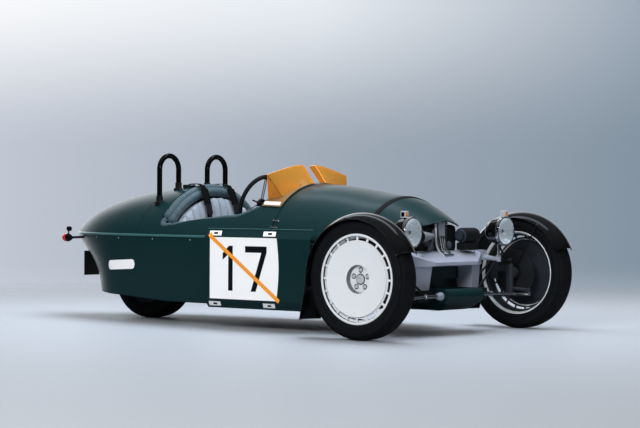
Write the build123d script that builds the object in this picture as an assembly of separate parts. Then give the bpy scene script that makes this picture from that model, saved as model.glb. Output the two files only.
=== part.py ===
"""An open two-seat three-wheeled car: two steered wheels in front, one driven wheel inside the tail.

Frame: millimetres, +X towards the nose, +Y to the car's left, +Z up. The origin is on the ground, midway
between the car's foremost and rearmost points. Places along the car are given as a distance BEHIND the
front axle and turned into X by at(); a negative distance is ahead of the axle. Side is -1 right, +1 left.
"""
import math
import os

from build123d import *

# ---------------------------------------------------------------- driving dimensions
wheelbase = 2509.0
half_track = 826.5
rest_gap = 0.3            # clearance between pieces that are seated but not fixed together
running_gap = 0.08        # radial clearance of a shaft in its bore
cut = 2000.0              # length of a tool body that only has to reach past the car
SIDES = (("right", -1), ("left", 1))

# body shell
belt_z = 580.0            # seam between the lower body and the decks
floor_z = 150.0
skin = 12.0               # body wall with its inner trim
firewall_d = 993.0        # rear edge of the bonnet
body_front_d = 330.0
body_front_half = 486.0
firewall_half = 535.5
widest_d = 1370.0
widest_half = 548.0
shoulder_d = 2400.0       # where the flank's arc gives way to the tail's
tail_end_radius = 200.0
loft_step = 75.0          # spacing of the decks' cross-sections
belt_rail_height = 16.0
belt_rail_stand = 8.0
bonnet_front_d = 308.0
nose_rear_d = 278.0       # the gap behind it shows the rib that carries the bonnet's front edge
nose_lip_z = 664.0

# wheels and tyres
front_tyre_radius = 360.0
front_tyre_half = 71.0
front_rim_radius = 268.0
front_rim_half = 60.0
rear_tyre_radius = 312.0
rear_tyre_half = 97.0
rear_rim_radius = 205.0
rear_rim_half = 80.0
barrel_wall = 7.0
slot_count = 20
slot_inner_radius = 229.0
slot_outer_radius = 253.0
slot_rib = 12.0
disc_edge_radius = 221.0
disc_edge_proud = 5.0     # the disc's edge stands this far outside the rim's edge
disc_sheet = 6.0
brake_disc_radius = 150.0
hub_recess_radius = 84.0
hub_recess_set = 14.0     # the recess's lip lies this far inside the rim's edge
hub_recess_depth = 20.0
lug_circle_radius = 54.0
lug_count = 5
hub_sleeve_radius = 30.0
hub_cap_radius = 24.0
axle_radius = 16.0

# steering and suspension
kingpin_y = 700.0
kingpin_radius = 11.0
upper_ball_z = 430.0
lower_ball_z = 216.0
upright_radius = 24.0
eye_radius = 21.0
eye_height = 24.0
arm_reach_x = 130.0       # steering arm's pin ahead of the axle
arm_pin_y = 715.0
tie_rod_z = 228.0
rack_x = 102.0
rack_z = 241.0
rack_half = 330.0
rack_tube_radius = 26.0
rack_tube_half = 236.0
lower_member_half = 358.0

# mudguards
guard_inner_radius = 386.0
guard_half = 98.5
guard_sheet = 5.0
guard_crown = 38.0        # fall of the guard's edges from its crown
guard_front_angle = 25.0
guard_skirt_length = 250.0
guard_skirt_flare = 13.0
guard_stay_y = 730.0
guard_stay_radius = 5.0
guard_boss_z = 386.0

# side plates
plate_y = 640.0
plate_sheet = 8.0
plate_front_d = 560.0
plate_rear_d = 1442.0
plate_edge_z = (134.0, 190.0, 578.0, 636.0)   # lower edge, lower fold, upper fold, upper edge
plate_edge_y = 600.0
radiator_front_d = 640.0
radiator_rear_d = 1000.0
radiator_z = (215.0, 545.0)

# lamps
lamp_x = 117.0
lamp_y = 486.0
lamp_z = 631.5
lamp_radius = 94.5
lamp_depth = 150.0
lamp_post_radius = 8.0
lamp_post_foot_z = 470.0
lamp_post_back = 59.0     # the post stands this far behind the lens
tail_lamp_d = 3150.0
tail_lamp_y = 215.0
tail_lamp_z = 546.0
tail_lamp_radius = 29.0
tail_lamp_half_length = 45.0

# cockpit
deck_radius = 587.6       # radius of the deck's round cross-section at the cockpit
deck_centre_z = 338.4
hoop_d = 2143.0
hoop_y = 234.5
hoop_half = 92.0
hoop_tube_radius = 16.0
hoop_top_z = 1132.0
seat_foot_d = 1790.0
seat_front_d = 1330.0
seat_base_top = 270.0
cushion_thickness = 102.0
seat_lean = 12.0
seat_thickness = 90.0
roll_radius = 28.0        # padded roll behind the seats
side_roll_radius = 17.0   # padded edge along the sides of the mouth
mouth_rear_d = 2001.0
column_foot = (1000.0, 690.0)     # (distance behind the axle, z)
wheel_hub = (1322.0, 800.0)       # steering wheel's centre, (distance behind the axle, z)
driver_y = -240.0
steering_wheel_radius = 172.0
steering_rim_radius = 13.0
dash_d = 1135.0

# tail
lid_front_d = 2208.0
lid_gap = 3.0
hinge_d = 3187.0
hinge_z = 600.0
hinge_radius = 7.0

# windscreens and the cockpit mouth
mouth_front_d = 1165.0
screen_sheet = 5.0
screen_flange_d = (1004.0, 1163.0)
screen_flange_y = (20.0, 398.0)
# columns of a visor's sheet from its inner end outwards: foot (distance, y), top (distance, y, z)
SCREEN_COLUMNS = (
    ((1068.0, 62.0), (1124.0, 66.0, 1046.0)),
    ((1067.0, 100.0), (1122.0, 140.0, 1038.0)),
    ((1064.0, 170.0), (1118.0, 250.0, 1015.0)),
    ((1061.0, 245.0), (1117.0, 330.0, 996.0)),
    ((1056.0, 320.0), (1116.0, 400.0, 977.0)),
)
screen_wing_foot = ((1150.0, 54.0), (1160.0, 342.0))   # rear foot of the inner and the outer wing

# the origin is midway between the front tyres' or mudguards' foremost point and the tail lamps
guard_reach = (guard_inner_radius + guard_sheet) * math.cos(math.radians(guard_front_angle))
foremost = max(front_tyre_radius, guard_reach)
rearmost = tail_lamp_d + tail_lamp_half_length
front_axle_x = (rearmost - foremost) / 2


def at(behind):
    """X of a place given as a distance behind the front axle."""
    return front_axle_x - behind


rear_axle_x = at(wheelbase)


# ---------------------------------------------------------------- small tools
def block(x, y, z):
    """Box from three (low, high) pairs."""
    return Pos((x[0] + x[1]) / 2, (y[0] + y[1]) / 2, (z[0] + z[1]) / 2) * Box(
        abs(x[1] - x[0]), abs(y[1] - y[0]), abs(z[1] - z[0])
    )


def rod(start, end, radius, end_radius=None):
    """Round bar or cone between two points."""
    line = Vector(*end) - Vector(*start)
    plane = Plane(origin=start, z_dir=line)
    if end_radius is None:
        return extrude(plane * Circle(radius), line.length)
    return plane * Pos(0, 0, line.length / 2) * Cone(radius, end_radius, line.length)


def profile_xz(points, y_low, y_high):
    """Prism whose outline lies in XZ."""
    face = make_face(Polyline(*[(x, y_low, z) for x, z in points], close=True))
    return extrude(face, y_high - y_low, dir=(0, 1, 0))


def profile_yz(points, x_low, x_high):
    """Prism whose outline lies in YZ."""
    face = make_face(Polyline(*[(x_low, y, z) for y, z in points], close=True))
    return extrude(face, x_high - x_low, dir=(1, 0, 0))


def profile_xy(points, z_low, z_high):
    """Prism whose outline lies in XY."""
    face = make_face(Polyline(*[(x, y, z_low) for x, y in points], close=True))
    return extrude(face, z_high - z_low, dir=(0, 0, 1))


def turned(points, x, y, z):
    """Revolve about the Y axis through (x, z): points are (radius, offset along Y)."""
    face = make_face(Polyline(*[(x + r, y + t, z) for r, t in points], close=True))
    return revolve(face, Axis((x, y, z), (0, 1, 0)))


def bent_tube(points, radius, bend):
    """Round tube along straight runs joined by arcs of one radius."""
    path = FilletPolyline(*points, radius=bend)
    start = Plane(origin=path @ 0, z_dir=path % 0)
    return sweep(start * Circle(radius), path=path)


# ---------------------------------------------------------------- body surfaces
flank_rise = widest_half - firewall_half
flank_radius = ((widest_d - firewall_d) ** 2 + flank_rise ** 2) / (2 * flank_rise)


def circle_mid(centre, radius, start, end):
    """Point halfway along the shorter arc from start to end."""
    mx = (start[0] + end[0]) / 2 - centre[0]
    my = (start[1] + end[1]) / 2 - centre[1]
    length = math.hypot(mx, my)
    return (centre[0] + mx * radius / length, centre[1] + my * radius / length)


def tail_quarter_angle(end_radius, centre_d, shoulder, heading):
    """Angle of the end arc at which one more arc runs on, tangent at both ends, to the shoulder."""
    low, high = 0.0, math.pi / 2
    for _ in range(50):
        s = (low + high) / 2
        dy = shoulder[1] - end_radius * math.sin(s)
        dx = centre_d + end_radius * math.cos(s) - shoulder[0]
        if 2 * math.atan2(dy, dx) > math.pi / 2 - s + heading:
            high = s
        else:
            low = s
    return s


def outline_points(end_d, narrower, inset):
    """Plan of the body's left side as (distance behind, y): the joints and middles of its arcs."""
    flank_centre = (widest_d, widest_half - flank_radius - narrower)
    flank_r = flank_radius - inset
    shoulder_angle = math.asin((shoulder_d - widest_d) / flank_radius)
    waist_angle = math.asin((firewall_d - widest_d) / flank_radius)

    def on_flank(angle):
        return (widest_d + flank_r * math.sin(angle), flank_centre[1] + flank_r * math.cos(angle))

    shoulder, waist = on_flank(shoulder_angle), on_flank(waist_angle)
    end_radius = tail_end_radius - inset
    centre_d = end_d - tail_end_radius
    s = tail_quarter_angle(end_radius, centre_d, shoulder, shoulder_angle)
    quarter = (centre_d + end_radius * math.cos(s), end_radius * math.sin(s))
    # the tail's arc has its centre on the shoulder's radius and is as far from both of its ends
    nx, ny = -math.sin(shoulder_angle), -math.cos(shoulder_angle)
    dx, dy = quarter[0] - shoulder[0], quarter[1] - shoulder[1]
    tail_r = (dx * dx + dy * dy) / (2 * (dx * nx + dy * ny))
    tail_centre = (shoulder[0] + tail_r * nx, shoulder[1] + tail_r * ny)
    return {
        "end": (centre_d + end_radius, 0.0),
        "quarter": quarter,
        "mid_back": circle_mid(tail_centre, tail_r, quarter, shoulder),
        "shoulder": shoulder,
        "mid_side": circle_mid(flank_centre, flank_r, shoulder, waist),
        "waist": waist,
        "nose": (body_front_d, body_front_half - narrower - inset),
        "back": (tail_centre, tail_r),
        "side": (flank_centre, flank_r),
        "centre_d": centre_d,
        "end_radius": end_radius,
    }


def outline_wire(z, end_d, narrower, inset=0.0, front_d=body_front_d):
    """Closed plan outline of the body at height z."""
    p = outline_points(end_d, narrower, inset)

    def v(point, side):
        return Vector(at(point[0]), point[1] * side, z)

    nose = (front_d, p["nose"][1])
    edges = [Edge.make_line(v(nose, -1), v(nose, 1))]
    for side in (1, -1):
        run = [
            Edge.make_line(v(nose, side), v(p["waist"], side)),
            Edge.make_three_point_arc(v(p["waist"], side), v(p["mid_side"], side), v(p["shoulder"], side)),
            Edge.make_three_point_arc(v(p["shoulder"], side), v(p["mid_back"], side), v(p["quarter"], side)),
        ]
        edges += run
    edges.append(Edge.make_three_point_arc(v(p["quarter"], 1), v(p["end"], 1), v(p["quarter"], -1)))
    return Wire(edges)


def half_width_at(behind):
    """Half width of the body at the belt, from the same arcs as the plan outline."""
    p = outline_points(tail_end_d, 0.0, 0.0)
    if behind <= firewall_d:
        share = (behind - body_front_d) / (firewall_d - body_front_d)
        return body_front_half + share * (firewall_half - body_front_half)
    if behind <= p["shoulder"][0]:
        (cx, cy), r = p["side"]
    elif behind <= p["quarter"][0]:
        (cx, cy), r = p["back"]
    else:
        return math.sqrt(max(0.0, p["end_radius"] ** 2 - (behind - p["centre_d"]) ** 2))
    return cy + math.sqrt(r * r - (behind - cx) ** 2)


tail_end_d = 3182.0
# the tail tucks under: height, distance of its end behind the front axle, how much narrower than the belt
TUCK = (
    (580.0, 3182.0, 0.0),
    (519.0, 3133.0, 1.0),
    (470.0, 3088.0, 2.5),
    (413.0, 3032.0, 4.0),
    (355.0, 2986.0, 6.0),
    (302.0, 2954.0, 9.0),
    (243.0, 2932.0, 13.0),
    (150.0, 2898.0, 18.0),
)
# crest of the rear deck: distance behind the front axle, height
REAR_CREST = (
    (993.0, 926.0),
    (1500.0, 930.0),
    (2000.0, 922.0),
    (2270.0, 894.0),
    (2500.0, 863.0),
    (2690.0, 827.0),
    (2820.0, 795.0),
    (2930.0, 758.0),
    (3050.0, 704.0),
    (3130.0, 652.0),
    (3172.0, 608.0),
)
# front deck: distance behind the front axle, half width at the belt, crest height
FRONT_DECK = (
    (993.0, 535.5, 926.0),
    (800.0, 521.1, 915.5),
    (630.0, 508.4, 895.0),
    (460.0, 495.7, 869.0),
    (300.0, 478.0, 845.0),
    (150.0, 425.0, 812.0),
    (60.0, 375.0, 775.0),
    (-10.0, 315.0, 737.0),
    (-60.0, 240.0, 711.0),
    (-85.0, 150.0, 692.0),
)


def arch_wire(x, half, crest, base=belt_z):
    left, right = Vector(x, half, base), Vector(x, -half, base)
    return Wire([
        Edge.make_three_point_arc(right, Vector(x, 0, crest), left),
        Edge.make_line(left, right),
    ])


def smooth_rows(rows):
    """Rows of a table refined to loft_step, each column on a curve that passes through the given rows."""
    fine = []
    for i in range(len(rows) - 1):
        before, start, end = rows[max(i - 1, 0)], rows[i], rows[i + 1]
        after = rows[min(i + 2, len(rows) - 1)]
        length = end[0] - start[0]
        count = max(1, round(abs(length) / loft_step))
        for k in range(count):
            t = k / count
            row = [start[0] + t * length]
            for c in range(1, len(start)):
                m0 = (end[c] - before[c]) / (end[0] - before[0]) * length
                m1 = (after[c] - start[c]) / (after[0] - start[0]) * length
                row.append(
                    (2 * t**3 - 3 * t**2 + 1) * start[c] + (t**3 - 2 * t**2 + t) * m0
                    + (3 * t**2 - 2 * t**3) * end[c] + (t**3 - t**2) * m1
                )
            fine.append(tuple(row))
    return fine + [rows[-1]]


def deck_loft(rows, inset):
    base = belt_z - (1.0 if inset else 0.0)
    used = rows[:-1] if inset else rows
    wires = [arch_wire(at(d), half - inset, crest - inset, base) for d, half, crest in used]
    return Solid.make_loft(wires, True)


def rear_deck_solid(inset=0.0):
    """Everything under the rear deck's outer face, drawn in by inset."""
    return deck_loft([(d, half_width_at(d), crest) for d, crest in smooth_rows(REAR_CREST)], inset)


def front_deck_solid(inset=0.0):
    return deck_loft(smooth_rows(FRONT_DECK), inset)


def lower_solid(inset=0.0):
    """Everything inside the lower body's outer face, drawn in by inset."""
    front = body_front_d - (40.0 if inset else 0.0)
    return Solid.make_loft([outline_wire(z, end, narrower, inset, front) for z, end, narrower in TUCK], True)


def above_floor(lift=0.0):
    """Space above the body's underside, which climbs towards the tail."""
    low = floor_z + lift
    return profile_xz(
        [
            (at(-600), low), (at(1900), low), (at(2350), low + 22), (at(3300), low + 46),
            (at(3300), belt_z + 600), (at(-600), belt_z + 600),
        ],
        -cut / 2, cut / 2,
    )


rear_deck_outer = rear_deck_solid()
rear_deck_inner = rear_deck_solid(skin)
front_deck_outer = front_deck_solid()
front_deck_inner = front_deck_solid(skin)
lower_outer = lower_solid() & above_floor()
lower_inner = lower_solid(skin) & above_floor(skin)


def slab(front_d, rear_d, z_low=0.0, z_high=1400.0):
    """Full-width slice of space between two places along the car."""
    return block((at(rear_d), at(front_d)), (-cut / 2, cut / 2), (z_low, z_high))


# ---------------------------------------------------------------- body panels
wheel_well_half = rear_tyre_half + 24.0
wheel_well_reach = rear_tyre_radius + 14.0


def lower_body():
    shell = lower_outer - lower_inner
    well = block(
        (rear_axle_x - wheel_well_reach, rear_axle_x + wheel_well_reach),
        (-wheel_well_half, wheel_well_half),
        (0, floor_z + 90),
    )
    return shell - well + lid_hinge()


# the cockpit mouth's left side, from its front corner back: distance behind the front axle, y
MOUTH_SIDE = (
    (mouth_front_d, 385.0), (mouth_front_d + 15, 400.0), (mouth_front_d + 40, 415.0),
    (mouth_front_d + 85, 438.0), (1321.0, 464.0), (1420.0, 467.0), (1880.0, 487.0),
    (mouth_rear_d - 31, 480.0), (mouth_rear_d, 462.0),
)


def cockpit_opening():
    """Plan of the cockpit mouth, cut straight down through the deck."""
    mouth = ((mouth_front_d, 0.0),) + MOUTH_SIDE + ((mouth_rear_d, 0.0),)
    left = [(at(d), y) for d, y in mouth]
    right = [(at(d), -y) for d, y in reversed(MOUTH_SIDE)]
    return profile_xy(left + right, belt_z + 20, belt_z + 600)


def scuttle():
    """Fixed deck round the cockpit, from the bonnet's rear edge to the boot lid."""
    shell = (rear_deck_outer - rear_deck_inner) & slab(firewall_d + lid_gap, lid_front_d)
    return shell - cockpit_opening()


scuttle_shell = scuttle()


def boot_lid():
    shell = (rear_deck_outer - rear_deck_inner) & slab(lid_front_d + lid_gap, tail_end_d + 100)
    above_belt = slab(lid_front_d, tail_end_d + 100, belt_z + rest_gap)
    lifted = shell & above_belt
    ear = block(
        (at(hinge_d), at(tail_end_d - 60)), (-22, 22), (hinge_z - hinge_radius, hinge_z + hinge_radius)
    ) + rod((at(hinge_d), -22, hinge_z), (at(hinge_d), 22, hinge_z), hinge_radius)
    pin_hole = rod((at(hinge_d), -60, hinge_z), (at(hinge_d), 60, hinge_z), 3.0 + running_gap)
    return (lifted + ear) - pin_hole


def lid_hinge():
    """Pin and two lugs that carry the boot lid at the tip of the tail."""
    pin = rod((at(hinge_d), -38, hinge_z), (at(hinge_d), 38, hinge_z), 3.0)
    lugs = Part()
    for side in (-1, 1):
        y = tuple(sorted((24.0 * side, 38.0 * side)))
        x = (at(hinge_d) - hinge_radius, at(hinge_d) + hinge_radius)
        lug = block(x, y, (belt_z - 25, hinge_z + hinge_radius))
        foot = block((at(hinge_d), at(tail_end_d - 60)), y, (belt_z - 25, belt_z - rest_gap))
        lugs = lugs + lug + foot
    return (lugs + pin) - lower_outer - rear_deck_outer


def belt_rails():
    """Thin rail over the seam between the lower body and the decks."""
    low = belt_z - belt_rail_height / 2 - 4
    face = Face(outline_wire(low, tail_end_d, -belt_rail_stand))
    wide = Solid.extrude(face, Vector(0, 0, belt_rail_height))
    rail = wide & slab(1500, 2960)
    return rail - lower_outer - rear_deck_outer - lower_inner - rear_deck_inner - block(
        (at(3000), at(1400)), (-tail_lamp_y, tail_lamp_y), (low - 1, low + belt_rail_height + 1)
    )


def bonnet():
    return (front_deck_outer - front_deck_inner) & slab(bonnet_front_d, firewall_d, belt_z, 1400) \
        & slab(body_front_d, firewall_d, belt_z, 1400) + (
            (front_deck_outer - front_deck_inner) & slab(bonnet_front_d, body_front_d, nose_lip_z, 1400)
        )


def nose_cowl():
    """Clamshell over the front of the engine; its lip is level, with the rear corners turned up."""
    shell = (front_deck_outer - front_deck_inner) & slab(-200, nose_rear_d)
    keep = profile_xz(
        [
            (at(nose_rear_d), 725), (at(110), nose_lip_z), (at(-20), nose_lip_z + 2), (at(-100), 682),
            (at(-100), 1000), (at(nose_rear_d), 1000),
        ],
        -cut / 2, cut / 2,
    )
    # an arched rib under the seam carries the bonnet's front edge
    under = front_deck_inner - front_deck_solid(skin + 14.0)
    rib = under & slab(nose_rear_d - 22, bonnet_front_d + 22, nose_lip_z + 66, 1400)
    return (shell & keep) + rib


def firewall():
    """Bulkhead between engine bay and cockpit, up to the scuttle."""
    whole = lower_inner + (rear_deck_inner & slab(900, 1100, belt_z))
    space = whole & slab(firewall_d + 4, firewall_d + 16)
    hole = rod((at(900), driver_y, column_foot[1]), (at(1100), driver_y, column_foot[1]), 30)
    return space - hole


# ---------------------------------------------------------------- front structure
casting_beam = (
    # x ahead of the axle, z
    (88.0, 446.0), (88.0, 427.0), (60.0, 420.0), (-70.0, 426.0), (-110.0, 440.0), (-110.0, 512.0),
    (-60.0, 512.0), (-10.0, 498.0),
)
leg_top_z = 462.0
leg_foot_z = 276.0
rail_y = (318.0, 352.0)
rail_z = (430.0, 500.0)


def front_casting():
    """Cast cross-beam with two tapering legs and shoulders that carry the upper wishbones and lamp posts."""
    beam = profile_xz([(front_axle_x + x, z) for x, z in casting_beam], -400, 400)
    # the beam's lip is drawn back towards the shoulders
    for side in (-1, 1):
        corner = profile_xy(
            [
                (front_axle_x + 100, side * 200), (front_axle_x + 100, side * 450),
                (front_axle_x - 40, side * 450), (front_axle_x - 15, side * 400),
            ],
            300, 600,
        )
        beam = beam - corner
    shape = beam
    for side in (-1, 1):
        top = [(-92, 205), (55, 205), (-12, 385), (-92, 400)]
        foot = [(-72, 225), (38, 225), (12, 330), (-72, 335)]
        wires = [
            Wire.make_polygon([Vector(front_axle_x + x, side * y, z) for x, y in ring], close=True)
            for ring, z in ((top, leg_top_z), (foot, leg_foot_z))
        ]
        leg = Solid.make_loft(wires, True)
        pocket_top = [(-60, 262), (10, 262), (-22, 440), (-60, 440)]
        pocket_foot = [(-50, 262), (4, 262), (-8, 440), (-50, 440)]
        wires = [
            Wire.make_polygon([Vector(front_axle_x + x, side * y, z) for x, y in ring], close=True)
            for ring, z in ((pocket_top, leg_top_z - 42), (pocket_foot, leg_foot_z + 16))
        ]
        leg = leg - Solid.make_loft(wires, True)
        shoulder = block(
            (front_axle_x - 112, front_axle_x + 2), tuple(sorted((side * 380, side * 430))), (448, 512)
        )
        boss_x = front_axle_x + lamp_x - lamp_post_back
        post_arm = rod(
            (front_axle_x - 40, side * 372, 478), (boss_x, side * lamp_y, 452), 20, 12
        )
        boss = rod((boss_x, side * lamp_y, 438), (boss_x, side * lamp_y, lamp_post_foot_z), 15)
        horn = profile_yz(
            [(side * y, z) for y, z in ((300, 505), (400, 505), (392, 530), (262, 640), (240, 632))],
            front_axle_x - 96, front_axle_x - 70,
        )
        shape = shape + leg + shoulder + post_arm + boss + horn
    return shape - front_deck_outer


def chassis_rails():
    """Two rails from the casting back to the firewall, with engine mounts."""
    rails = Part()
    for side in (-1, 1):
        y = tuple(sorted((side * rail_y[0], side * rail_y[1])))
        rails = rails + block((at(firewall_d + 4), at(110)), y, rail_z)
        for d in (330, 620):
            mount = tuple(sorted((side * engine_half, side * rail_y[0])))
            rails = rails + block((at(d + 50), at(d)), mount, (rail_z[0], rail_z[1] - 20))
    return rails


engine_half = 205.0
engine_d = (250.0, 700.0)
engine_z = (208.0, 640.0)


def engine_block():
    return block((at(engine_d[1]), at(engine_d[0])), (-engine_half, engine_half), engine_z)


def engine():
    """Plain block at the engine's place and size, on the rails' mounts, with its front cover."""
    main = engine_block()
    main = fillet(main.edges().filter_by(Axis.X), 30)
    cover = block((at(engine_d[0]), at(engine_d[0] - 50)), (-150, 150), (engine_z[0] + 40, engine_z[1] - 60))
    cover = fillet(cover.edges().filter_by(Axis.X), 40)
    pulley = rod((at(engine_d[0] - 50), 0, 330), (at(engine_d[0] - 85), 0, 330), 72)
    return main + cover + pulley


# leaning front face of the spine: x ahead of the axle, z
SPINE_FACE = ((14.0, 700.0), (8.0, 580.0), (44.0, 486.0), (62.0, 440.0))
spine_thickness = 24.0


def grille_spine():
    """Upright centre bar between beam and nose: a plate above, two uprights round a window below."""
    outline = [(-62, 500), (-48, 470), (48, 470), (62, 500), (58, 720), (-58, 720)]
    bar = profile_yz(outline, front_axle_x - 60, front_axle_x + 90)
    window = profile_yz([(-40, 498), (40, 498), (42, 604), (-42, 604)], front_axle_x - 61, front_axle_x + 91)
    face = [(front_axle_x + x, z) for x, z in SPINE_FACE]
    back = [(x - spine_thickness, z) for x, z in face]
    low, high = SPINE_FACE[-1][1], 760
    far = front_axle_x + 100
    ahead = profile_xz(face + [(far, low), (far, high), (face[0][0], high)], -100, 100)
    far = front_axle_x - 70
    behind = profile_xz(back + [(far, low), (far, high), (back[0][0], high)], -100, 100)
    bar = bar - window - ahead - behind
    beam = profile_xz([(front_axle_x + x, z) for x, z in casting_beam], -400, 400)
    under = profile_xz(
        [
            (front_axle_x + 88, 446), (front_axle_x - 10, 498), (front_axle_x - 60, 512),
            (front_axle_x - 60, 300), (front_axle_x + 88, 300),
        ],
        -100, 100,
    )
    cap = front_deck_outer - front_deck_inner
    above = block((front_axle_x - 60, front_axle_x + 120), (-90, 90), (nose_lip_z + 20, 900))
    above = above - front_deck_inner
    return bar - beam - under - cap - above


def air_intake():
    """Black filter canister on the left of the engine and the pipe that carries it."""
    x, z = front_axle_x - 12, 606.0
    can = rod((x, 176, z), (x, 318, z), 46)
    cap = rod((x, 150, z), (x, 176, z), 34)
    pipe = rod((at(engine_d[0]) - 1, 195, 585), (x - 20, 195, 598), 24)
    return (can + cap + pipe) - engine_block()


def intake_horn():
    """Grey tapered trumpet on the right of the engine."""
    x, z = front_axle_x - 20, 600.0
    horn = rod((x, -238, z), (x + 12, -122, z + 6), 38, 12)
    stay = rod((x - 10, -190, z), (at(engine_d[0]) - 1, -160, z - 30), 14)
    return (horn + stay) - engine_block()


sump_half = 205.0
sump_step_z = 343.0       # the panel steps back at this height


def sump_panel():
    """Recessed panel under the beam, between the legs, stepped back above the cross-member."""
    upper = block((front_axle_x - 66, front_axle_x - 54), (-sump_half, sump_half), (sump_step_z, 440))
    ledge = block(
        (front_axle_x - 110, front_axle_x - 54), (-sump_half, sump_half), (sump_step_z - 5, sump_step_z)
    )
    lower = block((front_axle_x - 110, front_axle_x - 100), (-300, 300), (leg_foot_z, sump_step_z))
    beam = profile_xz([(front_axle_x + x, z) for x, z in casting_beam], -400, 400)
    return upper + ledge + lower - beam


def belly_nose():
    """Round-nosed lower cowl ahead of and under the front cross-member."""
    half = 188.0

    def v(x, z):
        return (front_axle_x + x, -half, z)

    rear = -body_front_d
    front = make_face(
        Line(v(-20, 284), v(128, 284))
        + ThreePointArc(v(128, 284), v(152, 262), v(158, 236))
        + ThreePointArc(v(158, 236), v(112, 176), v(10, floor_z))
        + Line(v(10, floor_z), v(rear, floor_z))
        + Line(v(rear, floor_z), v(rear, 200))
        + Line(v(rear, 200), v(-20, 200))
        + Line(v(-20, 200), v(-20, 284))
    )
    solid = extrude(front, 2 * half, dir=(0, 1, 0))
    # the outer lower corners are drawn in
    for side in (-1, 1):
        triangle = ((half - 70, floor_z - 1), (half + 5, floor_z - 1), (half + 5, floor_z + 55))
        corner = profile_yz(
            [(side * y, z) for y, z in triangle], at(body_front_d) - 1, front_axle_x + 200
        )
        solid = solid - corner
    hollow = block((front_axle_x - 16, front_axle_x + 120), (-half + 12, half - 12), (212, 300))
    rack_place = front_axle_x + rack_x
    rack_way = rod((rack_place, -300, rack_z), (rack_place, 300, rack_z), rack_tube_radius)
    return solid - hollow - rack_way


def cross_member():
    """Dark lower cross-member under the casting's feet, with the lower wishbones' brackets."""
    bar = block(
        (front_axle_x - 150, front_axle_x - 20 - rest_gap), (-lower_member_half, lower_member_half),
        (203, leg_foot_z),
    )
    wings = Part()
    for side in (-1, 1):
        y = tuple(sorted((side * (188 + rest_gap), side * lower_member_half)))
        wings = wings + block((front_axle_x - 20 - rest_gap, front_axle_x + 60), y, (203, leg_foot_z))
    return bar + wings - rod(
        (front_axle_x + rack_x, -400, rack_z), (front_axle_x + rack_x, 400, rack_z), rack_tube_radius + 8
    )


def rack_tube():
    """Steering rack's housing, through the belly nose."""
    x = front_axle_x + rack_x
    straight = rack_tube_half - 40
    tube = rod((x, -straight, rack_z), (x, straight, rack_z), rack_tube_radius)
    bore = rod((x, -400, rack_z), (x, 400, rack_z), 12 + rest_gap)
    for side in (-1, 1):
        tube = tube + rod((x, side * straight, rack_z), (x, side * rack_tube_half, rack_z), 24, 16)
    return tube - bore


# ---------------------------------------------------------------- suspension
casting = front_casting()
lower_member = cross_member()


def one_side_wishbones(side):
    """Upper and lower wishbones with the eyes round the kingpin, and the two slim pull rods."""
    def p(x, y, z):
        return (front_axle_x + x, side * y, z)

    shape = Part()
    for z, inner_y, inner_z, ends, r in (
        (upper_ball_z, 422.0, 466.0, (-92.0, -18.0), 9.0),
        (lower_ball_z, 366.0, 240.0, (-120.0, 48.0), 12.0),
    ):
        eye = rod(p(0, kingpin_y, z - eye_height / 2), p(0, kingpin_y, z + eye_height / 2), eye_radius)
        arms = Part()
        for end, tip in zip(ends, (-6, 6)):
            arms = arms + rod(p(end, inner_y, inner_z), p(tip, kingpin_y - eye_radius + 4, z), r)
            arms = arms + rod(p(end - 16, inner_y, inner_z), p(end + 16, inner_y, inner_z), 14)
        shape = shape + eye + arms
    for foot, head in (((-62, 300), (-44, 560, 448)), ((34, 290), (-3, 560, 447))):
        shape = shape + rod(p(*foot, leg_foot_z - 10), p(*head), 6)
    pin = rod(p(0, kingpin_y, 100), p(0, kingpin_y, 560), kingpin_radius + running_gap)
    return shape - pin - casting - lower_member


def knuckle(side):
    """Upright with kingpin, stub axle, steering arm and brake caliper."""
    def p(x, y, z):
        return (front_axle_x + x, side * y, z)

    low = lower_ball_z + eye_height / 2 + 0.5
    high = upper_ball_z - eye_height / 2 - 0.5
    pin = rod(p(0, kingpin_y, lower_ball_z - 22), p(0, kingpin_y, upper_ball_z + 22), kingpin_radius)
    post = rod(p(0, kingpin_y, low), p(0, kingpin_y, high), upright_radius)
    hub = rod(p(0, kingpin_y, front_tyre_radius), p(0, kingpin_y + 34, front_tyre_radius), 40)
    stub_end = half_track + front_rim_half - hub_recess_set - hub_recess_depth + 6
    stub = rod(p(0, kingpin_y + 34, front_tyre_radius), p(0, stub_end, front_tyre_radius), axle_radius)
    arm = rod(p(10, kingpin_y, 262), p(arm_reach_x, arm_pin_y, 252), 11)
    arm_boss = rod(p(arm_reach_x, arm_pin_y, 240), p(arm_reach_x, arm_pin_y, 264), 15)
    web = block(
        (front_axle_x - 120, front_axle_x - 10), tuple(sorted((side * 694, side * 712))),
        (front_tyre_radius + 8, front_tyre_radius + 44),
    )
    caliper = block(
        (front_axle_x - 150, front_axle_x - 96), tuple(sorted((side * 694, side * 734))),
        (front_tyre_radius - 40, front_tyre_radius + 62),
    )
    stay_foot = rod(p(0, kingpin_y, guard_boss_z), p(0, guard_stay_y + 7, guard_boss_z), 12)
    return pin + post + hub + stub + arm + arm_boss + web + caliper + stay_foot


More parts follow.
